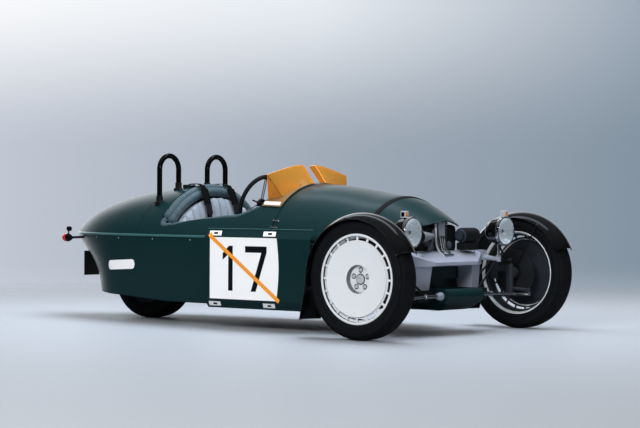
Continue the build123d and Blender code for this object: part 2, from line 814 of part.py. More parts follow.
def mudguard(side):
    """Cycle wing close round the tyre, with a straight skirt behind, and its two stays to the knuckle."""
    def section(inner):
        """Crowned strip in (radius, offset) with its edges lower than the crown."""
        r = guard_inner_radius + inner
        return [(r - guard_crown, -guard_half), (r, 0.0), (r - guard_crown, guard_half)]

    y = side * half_track
    z = front_tyre_radius
    strip = make_face(
        ThreePointArc(*[(front_axle_x + r, y + t, z) for r, t in section(0)])
        + Line(
            (front_axle_x + section(0)[2][0], y + guard_half, z),
            (front_axle_x + section(guard_sheet)[2][0], y + guard_half, z),
        )
        + ThreePointArc(*[(front_axle_x + r, y + t, z) for r, t in reversed(section(guard_sheet))])
        + Line(
            (front_axle_x + section(guard_sheet)[0][0], y - guard_half, z),
            (front_axle_x + section(0)[0][0], y - guard_half, z),
        )
    )
    axis = Axis((front_axle_x, y, z), (0, 1, 0))
    sweep_angle = 180.0 - guard_front_angle
    start = strip.rotate(axis, -guard_front_angle)
    arc = revolve(start, Axis((front_axle_x, y, z), (0, -1, 0)), sweep_angle)
    rear = strip.rotate(axis, -180.0)
    flare = math.radians(guard_skirt_flare)
    skirt = extrude(rear, guard_skirt_length, dir=(-math.sin(flare), 0, -math.cos(flare)))
    shape = arc + skirt
    rim_y = side * (half_track - guard_half + 9)
    # the strip's cross-section is an arc, so it has fallen this much where the stays end
    crown_radius = (guard_half ** 2 + guard_crown ** 2) / (2 * guard_crown)
    fall = crown_radius - math.sqrt(crown_radius ** 2 - (guard_half - 9) ** 2)
    hub_y = side * guard_stay_y
    boss_z = guard_boss_z
    stays = Part()
    for angle, lean in ((60.0, 1), (122.0, -1)):
        a = math.radians(angle)
        r = guard_inner_radius - fall + guard_sheet / 2
        tip = (front_axle_x + r * math.cos(a), rim_y, z + r * math.sin(a))
        points = [
            (front_axle_x, hub_y, boss_z), (front_axle_x + lean * 42, hub_y, boss_z + 62),
            (front_axle_x + lean * 84, rim_y, boss_z + 136), tip,
        ]
        stays = stays + bent_tube(points, guard_stay_radius, 16)
    return (shape + stays) - knuckle(side)


# ---------------------------------------------------------------- wheels
def tyre_profile(radius, half, bead_radius, bead_half):
    """Half-section outline of a tyre, in (radius, offset)."""
    widest = bead_radius + (radius - bead_radius) * 0.45
    return [
        (bead_radius, -bead_half), (bead_radius + 10, -bead_half - 3), (widest, -half),
        (radius - 22, -half + 3), (radius - 7, -half + 14), (radius - 1, -half * 0.55), (radius, 0),
    ]


def tyre(x, y, radius, half, bead_radius, bead_half):
    outer = tyre_profile(radius, half, bead_radius, bead_half)
    outer = outer + [(r, -t) for r, t in reversed(outer[:-1])]
    inner = [
        (bead_radius, bead_half - 12), (bead_radius + 16, half - 14), (radius - 24, half - 12),
        (radius - 14, half - 26), (radius - 14, 26 - half), (radius - 24, 12 - half),
        (bead_radius + 16, 14 - half), (bead_radius, 12 - bead_half),
    ]
    return turned(outer + inner, x, y, radius)


def slots(x, y, z, y_reach):
    """The ring of slots near the disc's edge."""
    ring = Part()
    half_angle = math.asin(slot_rib / 2 / slot_inner_radius)
    step = 2 * math.pi / slot_count
    for i in range(slot_count):
        a, b = i * step + half_angle, (i + 1) * step - half_angle
        points = [
            (x + r * math.cos(t), z + r * math.sin(t))
            for r, t in (
                (slot_inner_radius, a), (slot_inner_radius, b), (slot_outer_radius, b), (slot_outer_radius, a)
            )
        ]
        ring = ring + profile_xz(points, y - y_reach, y + y_reach)
    return ring


def front_wheel(side):
    """Disc wheel: rim barrel, slotted disc near the outer edge, dished centre with the hub sleeve."""
    x, y, z = front_axle_x, side * half_track, front_tyre_radius
    half = front_rim_half
    lip = front_rim_radius
    well = lip - 22
    edge = half + disc_edge_proud
    recess = half - hub_recess_set
    floor = recess - hub_recess_depth
    band = half - 12
    bore = axle_radius + running_gap
    barrel = [
        (lip, half), (lip, half - 10), (lip - 6, half - 14), (well, half - 34),
        (well, 34 - half), (lip - 6, 14 - half), (lip, 10 - half), (lip, -half), (lip - 7, -half),
        (lip - 7 - barrel_wall, 16 - half),
        (well - barrel_wall, 36 - half), (well - barrel_wall, half - 36), (lip - 7 - barrel_wall, half - 16),
        (lip - 8, half - 1),
    ]
    disc = [
        (bore, -70), (hub_sleeve_radius, -70), (hub_sleeve_radius, floor - disc_sheet),
        (hub_recess_radius + 2, floor - disc_sheet), (hub_recess_radius + 5, recess - disc_sheet),
        (disc_edge_radius - 6, edge - disc_sheet - 2), (disc_edge_radius - 4, band - 2), (lip - 10, band - 6),
        (lip - 8, band), (disc_edge_radius + 3, band + 4),
        (disc_edge_radius + 3, edge - 4), (disc_edge_radius, edge),
        (hub_recess_radius, recess), (hub_recess_radius - 6, floor), (hub_cap_radius, floor),
        (hub_cap_radius, floor + 16), (0, floor + 16), (0, floor + 8), (bore, floor + 8),
    ]
    rim = turned([(r, side * t) for r, t in barrel], x, y, z)
    face = turned([(r, side * t) for r, t in disc], x, y, z)
    lugs = Part()
    for i in range(lug_count):
        a = 2 * math.pi * i / lug_count + math.pi / 10
        cx, cz = x + lug_circle_radius * math.cos(a), z + lug_circle_radius * math.sin(a)
        lugs = lugs + rod((cx, y + side * (floor - 1), cz), (cx, y + side * (floor + 9), cz), 11)
    return rim + (face - slots(x, y + side * band, z, 12)) + lugs


def brake_disc(side):
    x, y, z = front_axle_x, side * half_track, front_tyre_radius
    return turned(
        [
            (30, side * -68), (60, side * -68), (60, side * -84), (brake_disc_radius, side * -84),
            (brake_disc_radius, side * -74), (74, side * -74), (74, side * -60), (30, side * -60),
        ],
        x, y, z,
    )


def rear_wheel():
    x, z = rear_axle_x, rear_tyre_radius
    half, barrel_radius = rear_rim_half, rear_rim_radius - 16
    barrel = [
        (rear_rim_radius, half), (rear_rim_radius, half - 8),
        (barrel_radius, half - 14), (barrel_radius, 14 - half),
        (rear_rim_radius, 8 - half), (rear_rim_radius, -half), (rear_rim_radius - 6, -half),
        (barrel_radius - barrel_wall, 10 - half), (barrel_radius - barrel_wall, half - 10),
        (rear_rim_radius - 6, half),
    ]
    disc = [
        (axle_radius + running_gap, -60), (36, -60), (40, -14), (barrel_radius - barrel_wall, -6),
        (barrel_radius - barrel_wall, 6), (40, 14), (36, 60), (axle_radius + running_gap, 60),
    ]
    shape = turned(barrel, x, 0, z) + turned(disc, x, 0, z)
    for i in range(8):
        a = math.radians(45 * i)
        cx, cz = x + 118 * math.cos(a), z + 118 * math.sin(a)
        shape = shape - rod((cx, -30, cz), (cx, 30, cz), 26)
    return shape


swing_arm_y = 118.0
swing_pivot_d = 2110.0
swing_pivot_z = 300.0


def swingarm():
    """Fork that carries the rear wheel, on a cross tube between the body's sides."""
    pivot = (at(swing_pivot_d), 0, swing_pivot_z)
    shape = rod((pivot[0], -700, pivot[2]), (pivot[0], 700, pivot[2]), 22)
    shape = shape & lower_inner

    def hub(y):
        return (rear_axle_x, y, rear_tyre_radius)

    def across(y, reach, radius):
        """Bar along the wheel's axis, from y - reach to y + reach."""
        return rod(hub(y - reach), hub(y + reach), radius)

    for side in (-1, 1):
        y = side * swing_arm_y
        shape = shape + rod((pivot[0], y, pivot[2]), hub(y), 16) + across(y, 14, 28)
    return shape + across(0, swing_arm_y, axle_radius)


# ---------------------------------------------------------------- side plates
def one_side_plate(side):
    """Large flat plate beside the body with its upper and lower edges folded in, on four standoffs."""
    low, low_fold, high_fold, high = plate_edge_z
    t = plate_sheet
    outer = [(plate_edge_y, low), (plate_y, low_fold), (plate_y, high_fold), (plate_edge_y, high)]
    inner = [
        (plate_edge_y - 6, high - 3), (plate_y - t, high_fold - 3), (plate_y - t, low_fold + 3),
        (plate_edge_y - 6, low + 3),
    ]
    plate = profile_yz([(side * y, z) for y, z in outer + inner], at(plate_rear_d), at(plate_front_d))
    for d in (plate_front_d + 40, plate_rear_d - 60):
        for z in (low_fold + 25, high_fold - 35):
            plate = plate + rod((at(d), side * 440, z), (at(d), side * (plate_y - t / 2), z), 11)
    return plate - lower_outer


def radiators():
    """A radiator behind each side plate, between it and the body."""
    cores = Part()
    for side in (-1, 1):
        y = tuple(sorted((side * 440, side * (plate_y - plate_sheet))))
        cores = cores + block((at(radiator_rear_d), at(radiator_front_d)), y, radiator_z)
    return cores - lower_outer


# ---------------------------------------------------------------- lamps
def one_headlamp(side):
    """Bowl with its rim, lens, post and the small indicator box above."""
    x, y, z = front_axle_x + lamp_x, side * lamp_y, lamp_z
    back = -lamp_depth
    outline = [
        (0, back), (28, back + 4), (58, back + 26), (78, back + 62), (86, back + 110), (88, -26),
        (lamp_radius, -24), (lamp_radius, -2), (lamp_radius - 8, 0), (lamp_radius - 12, -6), (0, -6),
    ]
    face = make_face(Polyline(*[(x + t, y, z + r) for r, t in outline], close=True))
    bowl = revolve(face, Axis((x, y, z), (1, 0, 0)))
    post_x = x - lamp_post_back
    post = rod((post_x, y, lamp_post_foot_z), (post_x, y, z - 80), lamp_post_radius)
    box = block((x - 62, x - 22), (y + side * 35 - 17, y + side * 35 + 17), (z + 88, z + 128))
    stem = block((x - 48, x - 34), (y + side * 28 - 8, y + side * 28 + 8), (z + 70, z + 90))
    return bowl + post + box + stem


def one_headlamp_lens(side):
    x, y, z = front_axle_x + lamp_x, side * lamp_y, lamp_z
    outline = [(0, -6), (lamp_radius - 12, -6), (lamp_radius - 13, -1), (60, 8), (30, 13), (0, 14)]
    face = make_face(Polyline(*[(x + t, y, z + r) for r, t in outline], close=True))
    return revolve(face, Axis((x, y, z), (1, 0, 0)))


def one_tail_lamp(side):
    """Bullet lamp on a stalk from the tail's flank, with a small indicator on a stem above it."""
    x, y, z = at(tail_lamp_d), side * tail_lamp_y, tail_lamp_z
    half = tail_lamp_half_length
    outline = [
        (0, half), (14, half - 6), (24, half - 24), (tail_lamp_radius, half - 44),
        (tail_lamp_radius, -half + 28), (0, -half + 28),
    ]
    face = make_face(Polyline(*[(x + t, y, z + r) for r, t in outline], close=True))
    bullet = revolve(face, Axis((x, y, z), (1, 0, 0)))
    stalk = rod((x + half - 12, y, z), (at(2940), side * 232, z + 8), 9)
    stem = rod((x + 8, y, z + 20), (x + 8, y, z + 56), 5)
    knob = rod((x - 16, y, z + 62), (x + 18, y, z + 62), 15)
    return (bullet + stalk + stem + knob) - lower_outer


def one_tail_lens(side):
    x, y, z = at(tail_lamp_d), side * tail_lamp_y, tail_lamp_z
    half = tail_lamp_half_length
    outline = [
        (0, -half + 28), (tail_lamp_radius, -half + 28), (tail_lamp_radius - 2, -half + 12),
        (20, -half + 3), (0, -half),
    ]
    face = make_face(Polyline(*[(x + t, y, z + r) for r, t in outline], close=True))
    return revolve(face, Axis((x, y, z), (1, 0, 0)))


number_plate_hole_y = 90.0
number_plate_z = 366.0


def number_plate_holder():
    """Bare black plate under the tail, with two fixing holes, on a bracket from the body."""
    plate = block((at(3080), at(3073)), (-122, 122), (280, 452))
    bracket = block((at(3073), at(2900)), (-30, 30), (400, 440))
    holes = Part()
    for side in (-1, 1):
        y = side * number_plate_hole_y
        holes = holes + rod((at(3100), y, number_plate_z), (at(3060), y, number_plate_z), 3)
    return (plate - holes + bracket) - lower_outer


# ---------------------------------------------------------------- cockpit
def dashboard():
    """Instrument panel under the scuttle, with two round dials and the column's hole."""
    space = (rear_deck_inner & slab(1000, 1300, belt_z + 20, 1400)) & slab(dash_d - 22, dash_d - 8)
    shape = space
    for y in (-58, 58):
        shape = shape + rod((at(dash_d - 10), y, 800), (at(dash_d + 14), y, 800), 48)
    return shape - column_way(26)


def column_way(radius):
    foot = (at(column_foot[0]), driver_y, column_foot[1])
    hub = (at(wheel_hub[0]), driver_y, wheel_hub[1])
    return rod(foot, hub, radius)


def column_axis():
    """Unit vector from the column's foot towards the driver."""
    dx, dz = at(wheel_hub[0]) - at(column_foot[0]), wheel_hub[1] - column_foot[1]
    length = math.hypot(dx, dz)
    return dx / length, dz / length


def steering_column():
    """Fixed column tube from the firewall through the dash, with its clamp."""
    ax, az = column_axis()
    foot = (at(column_foot[0]), driver_y, column_foot[1])
    end = (at(wheel_hub[0]) - 34 * ax, driver_y, wheel_hub[1] - 34 * az)
    tube = rod(foot, end, 20)
    flange = Pos(at(firewall_d + 21), driver_y, column_foot[1]) * Rot(0, 90, 0) * Cylinder(44, 10)
    bore = rod(foot, (at(wheel_hub[0]), driver_y, wheel_hub[1]), 10 + running_gap)
    return (tube + flange) - bore - slab(900, firewall_d + 16)


def steering_wheel():
    """Rim, three flat spokes, hub and the shaft that turns in the column."""
    ax, az = column_axis()
    hub = Vector(at(wheel_hub[0]), driver_y, wheel_hub[1])
    plane = Plane(origin=hub, z_dir=(ax, 0, az), x_dir=(0, 1, 0))
    shape = plane * Torus(steering_wheel_radius, steering_rim_radius)
    shape = shape + plane * Pos(0, 0, -12) * Cylinder(34, 26)
    for angle in (90, 210, 330):
        bar = Box(steering_wheel_radius - 22, 22, 5)
        spoke = Rot(0, 0, angle) * Pos(steering_wheel_radius / 2 + 8, 0, -6) * bar
        shape = shape + plane * spoke
    shaft = rod((hub.X - 200 * ax, hub.Y, hub.Z - 200 * az), (hub.X - 20 * ax, hub.Y, hub.Z - 20 * az), 10)
    return shape + shaft


def seat_back():
    """Arched pleated back across both seats."""
    radius = deck_radius - skin - 50.0
    low = seat_base_top + seat_thickness * math.sin(math.radians(seat_lean)) + rest_gap
    x = at(seat_foot_d)
    half = 425.0
    shoulder_z = deck_centre_z + math.sqrt(radius ** 2 - half ** 2)
    face = make_face(
        Line((x, -half, low), (x, half, low))
        + Line((x, half, low), (x, half, shoulder_z))
        + ThreePointArc((x, half, shoulder_z), (x, 0, deck_centre_z + radius), (x, -half, shoulder_z))
        + Line((x, -half, shoulder_z), (x, -half, low))
    )
    solid = extrude(face, seat_thickness, dir=(-1, 0, 0))
    solid = solid.rotate(Axis((x, 0, low), (0, 1, 0)), -seat_lean)
    return solid - slab(lid_front_d - 40, 3000)


def seat_bulkhead():
    """Panel behind the seats that closes the cockpit towards the boot."""
    space = (lower_inner + (rear_deck_inner & slab(1900, 2200, belt_z, 1400))) & slab(2026, 2036)
    return space


def seat_cushions():
    shape = Part()
    for side in (-1, 1):
        y = tuple(sorted((side * 30, side * 440)))
        pad = block(
            (at(seat_foot_d - rest_gap), at(seat_front_d)), y,
            (seat_base_top + rest_gap, seat_base_top + cushion_thickness),
        )
        shape = shape + fillet(pad.edges().filter_by(Axis.Y), 30)
    return shape


def seat_base():
    """Boxed seat frame on the floor."""
    x = (at(seat_foot_d + seat_thickness), at(seat_front_d + 15))
    return block(x, (-430, 430), (floor_z + skin, seat_base_top))


def coaming():
    """Padded roll round the rear of the cockpit mouth."""
    radius = deck_radius - roll_radius + 3.0
    angle = math.degrees(math.acos((690.0 - deck_centre_z) / radius))
    x = at(mouth_rear_d - roll_radius + 2)
    top = Plane(origin=(x, 0, deck_centre_z + radius), x_dir=(1, 0, 0), z_dir=(0, 1, 0))
    start = top * Circle(roll_radius)
    axis = Axis((x, 0, deck_centre_z), (1, 0, 0))
    arch = revolve(start.rotate(axis, -angle), axis, 2 * angle)
    return arch & slab(mouth_rear_d - 200, mouth_rear_d)


def side_roll(side):
    """Padded edge along one side of the mouth."""
    inset = side_roll_radius - 4.0
    shape = Part()
    points = []
    for d, y in MOUTH_SIDE[1:-2]:
        points.append((at(d), side * (y - inset), deck_height(d, y) - 4.0))
    for start, end in zip(points, points[1:]):
        shape = shape + rod(start, end, side_roll_radius) + Pos(*end) * Sphere(side_roll_radius)
    return shape - scuttle_shell


def seat_belts():
    """Reel of each seat's belt, on the deck behind."""
    shape = Part()
    for side in (-1, 1):
        y = side * 118
        shape = shape + block((at(2100), at(2040)), (y - 34, y + 34), (880, 946))
    return shape - rear_deck_outer


def one_roll_hoop(side):
    """Bent tube hoop behind a seat, standing on two flanges on the deck."""
    x, y = at(hoop_d), side * hoop_y
    top = hoop_top_z - hoop_tube_radius
    straight = top - hoop_half
    path = Line((x, y - hoop_half, 780), (x, y - hoop_half, straight)) + ThreePointArc(
        (x, y - hoop_half, straight), (x, y, top), (x, y + hoop_half, straight)
    ) + Line((x, y + hoop_half, straight), (x, y + hoop_half, 780))
    wire = Wire(path.edges())
    tube = sweep(Plane(origin=(x, y - hoop_half, 780), z_dir=(0, 0, 1)) * Circle(hoop_tube_radius), path=wire)
    feet = Part()
    for leg in (-1, 1):
        leg_y = y + leg * hoop_half
        surface = deck_height(hoop_d, leg_y)
        feet = feet + rod((x, leg_y, surface - 30), (x, leg_y, surface + 26), 25, 19)
    return (tube + feet) - rear_deck_outer


def deck_height(behind, y):
    """Height of the rear deck's outer face, from the crest table by straight lines."""
    rows = list(REAR_CREST)
    for (d0, z0), (d1, z1) in zip(rows, rows[1:]):
        if d0 <= behind <= d1:
            crest = z0 + (z1 - z0) * (behind - d0) / (d1 - d0)
    half = half_width_at(behind)
    rise = crest - belt_z
    radius = (half * half + rise * rise) / (2 * rise)
    return crest - radius + math.sqrt(radius * radius - y * y)


def one_windscreen(side):
    """Tinted visor: a sheet leaning back and outwards, a wing at each end, and the flange it stands on."""
    band = block(
        (at(screen_flange_d[1]), at(screen_flange_d[0])), tuple(sorted(side * y for y in screen_flange_y)),
        (belt_z, 1400),
    )
    flange = band & rear_deck_solid(-screen_sheet)

    def foot(d, y):
        """Place on the deck, a little inside the flange."""
        return Vector(at(d), side * y, deck_height(d, y) + 2.0)

    def head(d, y, z):
        return Vector(at(d), side * y, z)

    through = Vector(-screen_sheet, 0, 0)
    wires = []
    for low, high in SCREEN_COLUMNS:
        a, b = foot(*low), head(*high)
        wires.append(Wire.make_polygon([a, a + through, b + through, b], close=True))
    shape = flange + Solid.make_loft(wires, True)
    ends = (SCREEN_COLUMNS[0], screen_wing_foot[0], 1), (SCREEN_COLUMNS[-1], screen_wing_foot[1], -1)
    for (low, high), rear, inwards in ends:
        triangle = Wire.make_polygon([foot(*low), head(*high), foot(*rear)], close=True)
        shape = shape + Solid.extrude(Face(triangle), Vector(0, side * inwards * screen_sheet, 0))
    return shape - rear_deck_outer


# ---------------------------------------------------------------- moving steering link
def rack_and_tie_rods():
    """Rack bar with a tie rod to each side, as one sliding piece; each rod's eye lies under its arm."""
    x = front_axle_x + rack_x
    bar = rod((x, -rack_half, rack_z), (x, rack_half, rack_z), 12)
    shape = bar
    for side in (-1, 1):
        ball = (x, side * (rack_half + 12), rack_z)
        eye = (front_axle_x + arm_reach_x, side * arm_pin_y, tie_rod_z)
        shape = shape + Pos(*ball) * Sphere(17) + rod(ball, eye, 9)
        shape = shape + rod((eye[0], eye[1], tie_rod_z - 9), (eye[0], eye[1], tie_rod_z + 9), 14)
    return shape


def exhaust():
    """Silencer and pipe under the left side, ahead of the rear wheel."""
    y, z = 360.0, floor_z - 38.0
    can = rod((at(1750), y, z), (at(1150), y, z), 36)
    tail = rod((at(1980), y, z), (at(1750), y, z), 20)
    shape = can + tail - rod((at(1990), y, z), (at(1800), y, z), 17)
    for d in (1250, 1650):
        shape = shape + block((at(d + 12), at(d - 12)), (y - 12, y + 12), (z + 20, floor_z))
    return shape


# ---------------------------------------------------------------- write the parts
def both(make, name):
    return {f"{name}_{word}": make(side) for word, side in SIDES}


def assemble():
    front_z = front_tyre_radius
    nodes = {
        "lower_body": lower_body(),
        "scuttle": scuttle_shell,
        "boot_lid": boot_lid(),
        "belt_rails": belt_rails(),
        "bonnet": bonnet(),
        "nose_cowl": nose_cowl(),
        "bulkheads": firewall() + seat_bulkhead(),
        "front_casting": casting,
        "chassis_rails": chassis_rails(),
        "engine": engine(),
        "grille_spine": grille_spine(),
        "air_intakes": air_intake() + intake_horn(),
        "lower_cowls": belly_nose() + sump_panel(),
        "cross_member": lower_member,
        "rack_tube": rack_tube(),
        "radiators": radiators(),
        "number_plate_holder": number_plate_holder(),
        "dashboard": dashboard(),
        "steering_column": steering_column(),
        "steering_wheel": steering_wheel(),
        "seat_back": seat_back(),
        "seat_cushions": seat_cushions(),
        "seat_base": seat_base(),
        "coaming": coaming(),
        "mouth_edges": side_roll(-1) + side_roll(1),
        "seat_belts": seat_belts(),
        "rack_and_tie_rods": rack_and_tie_rods(),
        "exhaust": exhaust(),
        "swingarm": swingarm(),
        "rear_wheel": rear_wheel(),
        "rear_tyre": tyre(rear_axle_x, 0, rear_tyre_radius, rear_tyre_half, rear_rim_radius, rear_rim_half),
    }
    for make, name in (
        (knuckle, "knuckle"), (mudguard, "mudguard"),
        (front_wheel, "front_wheel"), (brake_disc, "brake_disc"),
    ):
        nodes.update(both(make, name))
    for make, name in (
        (one_side_wishbones, "wishbones"), (one_side_plate, "side_plates"), (one_windscreen, "windscreens"),
        (one_headlamp, "headlamps"), (one_headlamp_lens, "headlamp_lenses"), (one_tail_lamp, "tail_lamps"),
        (one_tail_lens, "tail_lamp_lenses"), (one_roll_hoop, "roll_hoops"),
    ):
        nodes[name] = make(-1) + make(1)
    for word, side in SIDES:
        nodes[f"front_tyre_{word}"] = tyre(
            front_axle_x, side * half_track, front_z, front_tyre_half, front_rim_radius, front_rim_half
        )
    return nodes


def write(nodes):
    os.makedirs("parts", exist_ok=True)
    for name, shape in nodes.items():
        solids = shape.solids()
        export_step(solids[0] if len(solids) == 1 else Compound(children=list(solids)), f"parts/{name}.step")


write(assemble())
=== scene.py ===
"""Looks, light and camera of an open three-wheeled car, dressed round its CAD frame.

Most sizes are in mm, and at() and mm turn them into the frame's metres. Pitches, corners given to box() and
steps along a Vector are in metres.
"""

import math

import bmesh
import bpy
import numpy as np
from mathutils import Matrix, Vector


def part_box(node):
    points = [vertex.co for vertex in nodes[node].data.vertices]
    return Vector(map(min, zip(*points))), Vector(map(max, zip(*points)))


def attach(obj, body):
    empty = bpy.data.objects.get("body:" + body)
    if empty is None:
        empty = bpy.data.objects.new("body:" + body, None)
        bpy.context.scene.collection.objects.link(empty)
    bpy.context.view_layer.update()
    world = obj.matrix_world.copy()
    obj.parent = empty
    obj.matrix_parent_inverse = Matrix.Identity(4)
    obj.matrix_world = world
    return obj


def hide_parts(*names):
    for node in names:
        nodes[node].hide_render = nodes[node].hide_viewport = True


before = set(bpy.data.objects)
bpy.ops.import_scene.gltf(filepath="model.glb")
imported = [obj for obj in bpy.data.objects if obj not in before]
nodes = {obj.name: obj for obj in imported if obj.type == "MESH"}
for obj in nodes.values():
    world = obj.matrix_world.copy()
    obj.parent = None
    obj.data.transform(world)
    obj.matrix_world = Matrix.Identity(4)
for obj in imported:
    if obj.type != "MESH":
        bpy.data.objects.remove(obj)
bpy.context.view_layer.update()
mm = 0.001
SIDES = (("right", -1), ("left", 1))
AHEAD, LEFT, UP = (1, 0, 0), (0, 1, 0), (0, 0, 1)


def middle(node_name):
    """Centre of a CAD node's box."""
    low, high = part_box(node_name)
    return [(a + b) / 2 for a, b in zip(low, high)]


axle_x = middle("front_tyre_right")[0]
front_track = abs(middle("front_tyre_right")[1])
front_axle_z = middle("front_tyre_right")[2]
rear_axle_x, _, rear_axle_z = middle("rear_tyre")


def at(d, y, z):
    """Point from a distance behind the front axle, an offset to the left and a height, in mm."""
    return Vector((axle_x - d * mm, y * mm, z * mm))


# ---------------------------------------------------------------- shader tools
def srgb(code):
    """Linear colour from an sRGB hex code."""
    parts = [int(code[i:i + 2], 16) / 255 for i in (0, 2, 4)]
    return tuple(c / 12.92 if c <= 0.04045 else ((c + 0.055) / 1.055) ** 2.4 for c in parts) + (1.0,)


def add(tree, kind, props=None, **sockets):
    """Adds a shader node; sockets take a value or another node's output, by name with _ for spaces."""
    made = tree.nodes.new(kind)
    for key, value in (props or {}).items():
        setattr(made, key, value)
    for key, value in sockets.items():
        name = key.replace("_", " ")
        socket = made.inputs[int(name[1:])] if name[0] == "n" and name[1:].isdigit() else made.inputs[name]
        if isinstance(value, bpy.types.NodeSocket):
            tree.links.new(value, socket)
        else:
            socket.default_value = value
    return made


def calc(tree, kind, first, second=None):
    """Output of a math node on one value or two."""
    values = {"n0": first} if second is None else {"n0": first, "n1": second}
    return add(tree, "ShaderNodeMath", {"operation": kind}, **values).outputs[0]


def ramp(tree, value, start, end, low=0.0, high=1.0, smooth=False):
    """Output of a node that turns a value's run from start to end into low to high."""
    props = {"interpolation_type": "SMOOTHSTEP"} if smooth else None
    return add(
        tree, "ShaderNodeMapRange", props, Value=value, From_Min=start, From_Max=end, To_Min=low, To_Max=high
    ).outputs[0]


def tinted(tree, share, first, second):
    """Output of a node that mixes two colours."""
    return add(tree, "ShaderNodeMix", {"data_type": "RGBA"}, Factor=share, n6=first, n7=second).outputs[2]


def toward(tree, place, direction):
    """Output of a node that measures a place along a direction."""
    made = add(tree, "ShaderNodeVectorMath", {"operation": "DOT_PRODUCT"}, n0=place, n1=tuple(direction))
    return made.outputs["Value"]


def path_of(tree, kind):
    """Which kind of light path a shader is seen by."""
    return add(tree, "ShaderNodeLightPath").outputs[kind]


def blank(name):
    """Empty node material, its tree and its output."""
    mat = bpy.data.materials.new(name)
    mat.use_nodes = True
    tree = mat.node_tree
    tree.nodes.clear()
    return mat, tree, tree.nodes.new("ShaderNodeOutputMaterial")


def finish_of(name, colour, rough, grain_mm=0.0, grain_depth_mm=0.1, mottle=0.0, edge_mm=0.0, **sockets):
    """Plain material: grain is a fine bump, mottle varies the roughness, edge_mm shades edges as if rounded."""
    mat, tree, out = blank(name)
    shader = add(tree, "ShaderNodeBsdfPrincipled", Base_Color=srgb(colour), Roughness=rough, **sockets)
    place = add(tree, "ShaderNodeTexCoord").outputs["Object"]
    normal = None
    if edge_mm:
        normal = add(tree, "ShaderNodeBevel", {"samples": 4}, Radius=edge_mm * mm).outputs[0]
    if grain_mm:
        noise = add(tree, "ShaderNodeTexNoise", Vector=place, Scale=1 / (grain_mm * mm), Detail=3.0)
        bump = add(tree, "ShaderNodeBump", Height=noise.outputs[0], Distance=grain_depth_mm * mm)
        if normal:
            tree.links.new(normal, bump.inputs["Normal"])
        normal = bump.outputs[0]
    if normal:
        tree.links.new(normal, shader.inputs["Normal"])
    if mottle:
        patch = add(tree, "ShaderNodeTexNoise", Vector=place, Scale=14.0, Detail=4.0)
        uneven = ramp(tree, patch.outputs[0], 0.3, 0.7, rough - mottle, rough + mottle)
        tree.links.new(uneven, shader.inputs["Roughness"])
    tree.links.new(shader.outputs[0], out.inputs["Surface"])
    return mat


# ---------------------------------------------------------------- materials
# deep green car paint: a dark metallic base whose highlights spread softly, under a thin satin clear coat
green_paint = finish_of(
    "dark green metallic paint", "0B2B2D", 0.4, Metallic=0.1, Coat_Weight=0.4, Coat_Roughness=0.2,
    Specular_IOR_Level=0.3,
)
# the body's inside: unlit black trim, so the cockpit's depth stays dark
black_trim = finish_of("black cockpit trim", "121416", 0.8, grain_mm=3.0, grain_depth_mm=0.3)
# mudguards, hoops and lamp bowls: piano-black paint with sharp highlights
black_paint = finish_of(
    "gloss black paint", "050607", 0.12, Coat_Weight=0.45, Coat_Roughness=0.02, Specular_IOR_Level=0.3
)
satin_black = finish_of("satin black steel", "101113", 0.42, mottle=0.06)
# sand-cast aluminium: pale grey, softly uneven, with rounded edges that catch light
cast_aluminium = finish_of(
    "cast aluminium", "B3B9C7", 0.45, Metallic=0.35, grain_mm=2.5, grain_depth_mm=0.12, mottle=0.07, edge_mm=3.0
)
# wheel and grille paint: fine bright silver under clear coat
silver_paint = finish_of("silver wheel paint", "EFF1F3", 0.34, Metallic=0.15, Coat_Weight=0.6, Coat_Roughness=0.08)
bright_trim = finish_of("brushed aluminium trim", "C9CED3", 0.3, Metallic=1.0, mottle=0.05)
chrome = finish_of("polished chrome", "E8EAEC", 0.06, Metallic=1.0)
machined = finish_of("machined steel", "B7BCC2", 0.28, Metallic=0.6, mottle=0.08)
iron = finish_of("brake iron", "5A5D61", 0.42, Metallic=0.9, mottle=0.1)
black_plastic = finish_of("black moulded plastic", "17181A", 0.5, grain_mm=0.8, grain_depth_mm=0.05)
grey_plastic = finish_of("grey moulded plastic", "4A5058", 0.45, grain_mm=0.8, grain_depth_mm=0.05)
engine_alloy = finish_of("engine alloy", "3B3F45", 0.5, Metallic=0.6, grain_mm=4.0, grain_depth_mm=0.3, mottle=0.1)
core_black = finish_of("radiator core", "0C0D0E", 0.7, Metallic=0.3)
# the padded rolls: darker leather than the seats', with a hint of teal and a fine pebble
teal_leather = finish_of(
    "padded roll leather", "3F5259", 0.42, grain_mm=1.6, grain_depth_mm=0.12, mottle=0.05, Coat_Weight=0.2,
    Coat_Roughness=0.3,
)
wheel_leather = finish_of("black stitched leather", "121315", 0.5, grain_mm=1.2, grain_depth_mm=0.1)
# belt cloth: matt black weave
webbing = finish_of("black webbing", "0A0B0C", 0.8, grain_mm=1.0, grain_depth_mm=0.15, Specular_IOR_Level=0.15)
white_vinyl = finish_of("white vinyl", "F6F5F4", 0.3, Coat_Weight=0.4)
orange_vinyl = finish_of("orange vinyl", "F59A2C", 0.3, Coat_Weight=0.4)
black_vinyl = finish_of("black vinyl", "0B0C10", 0.3, Coat_Weight=0.4)
bronze_paint = finish_of("bronze screen base", "8C7050", 0.3, Metallic=0.3, Coat_Weight=0.8, Coat_Roughness=0.06)
gauge_face = finish_of("black gauge face", "0A0B0C", 0.25)


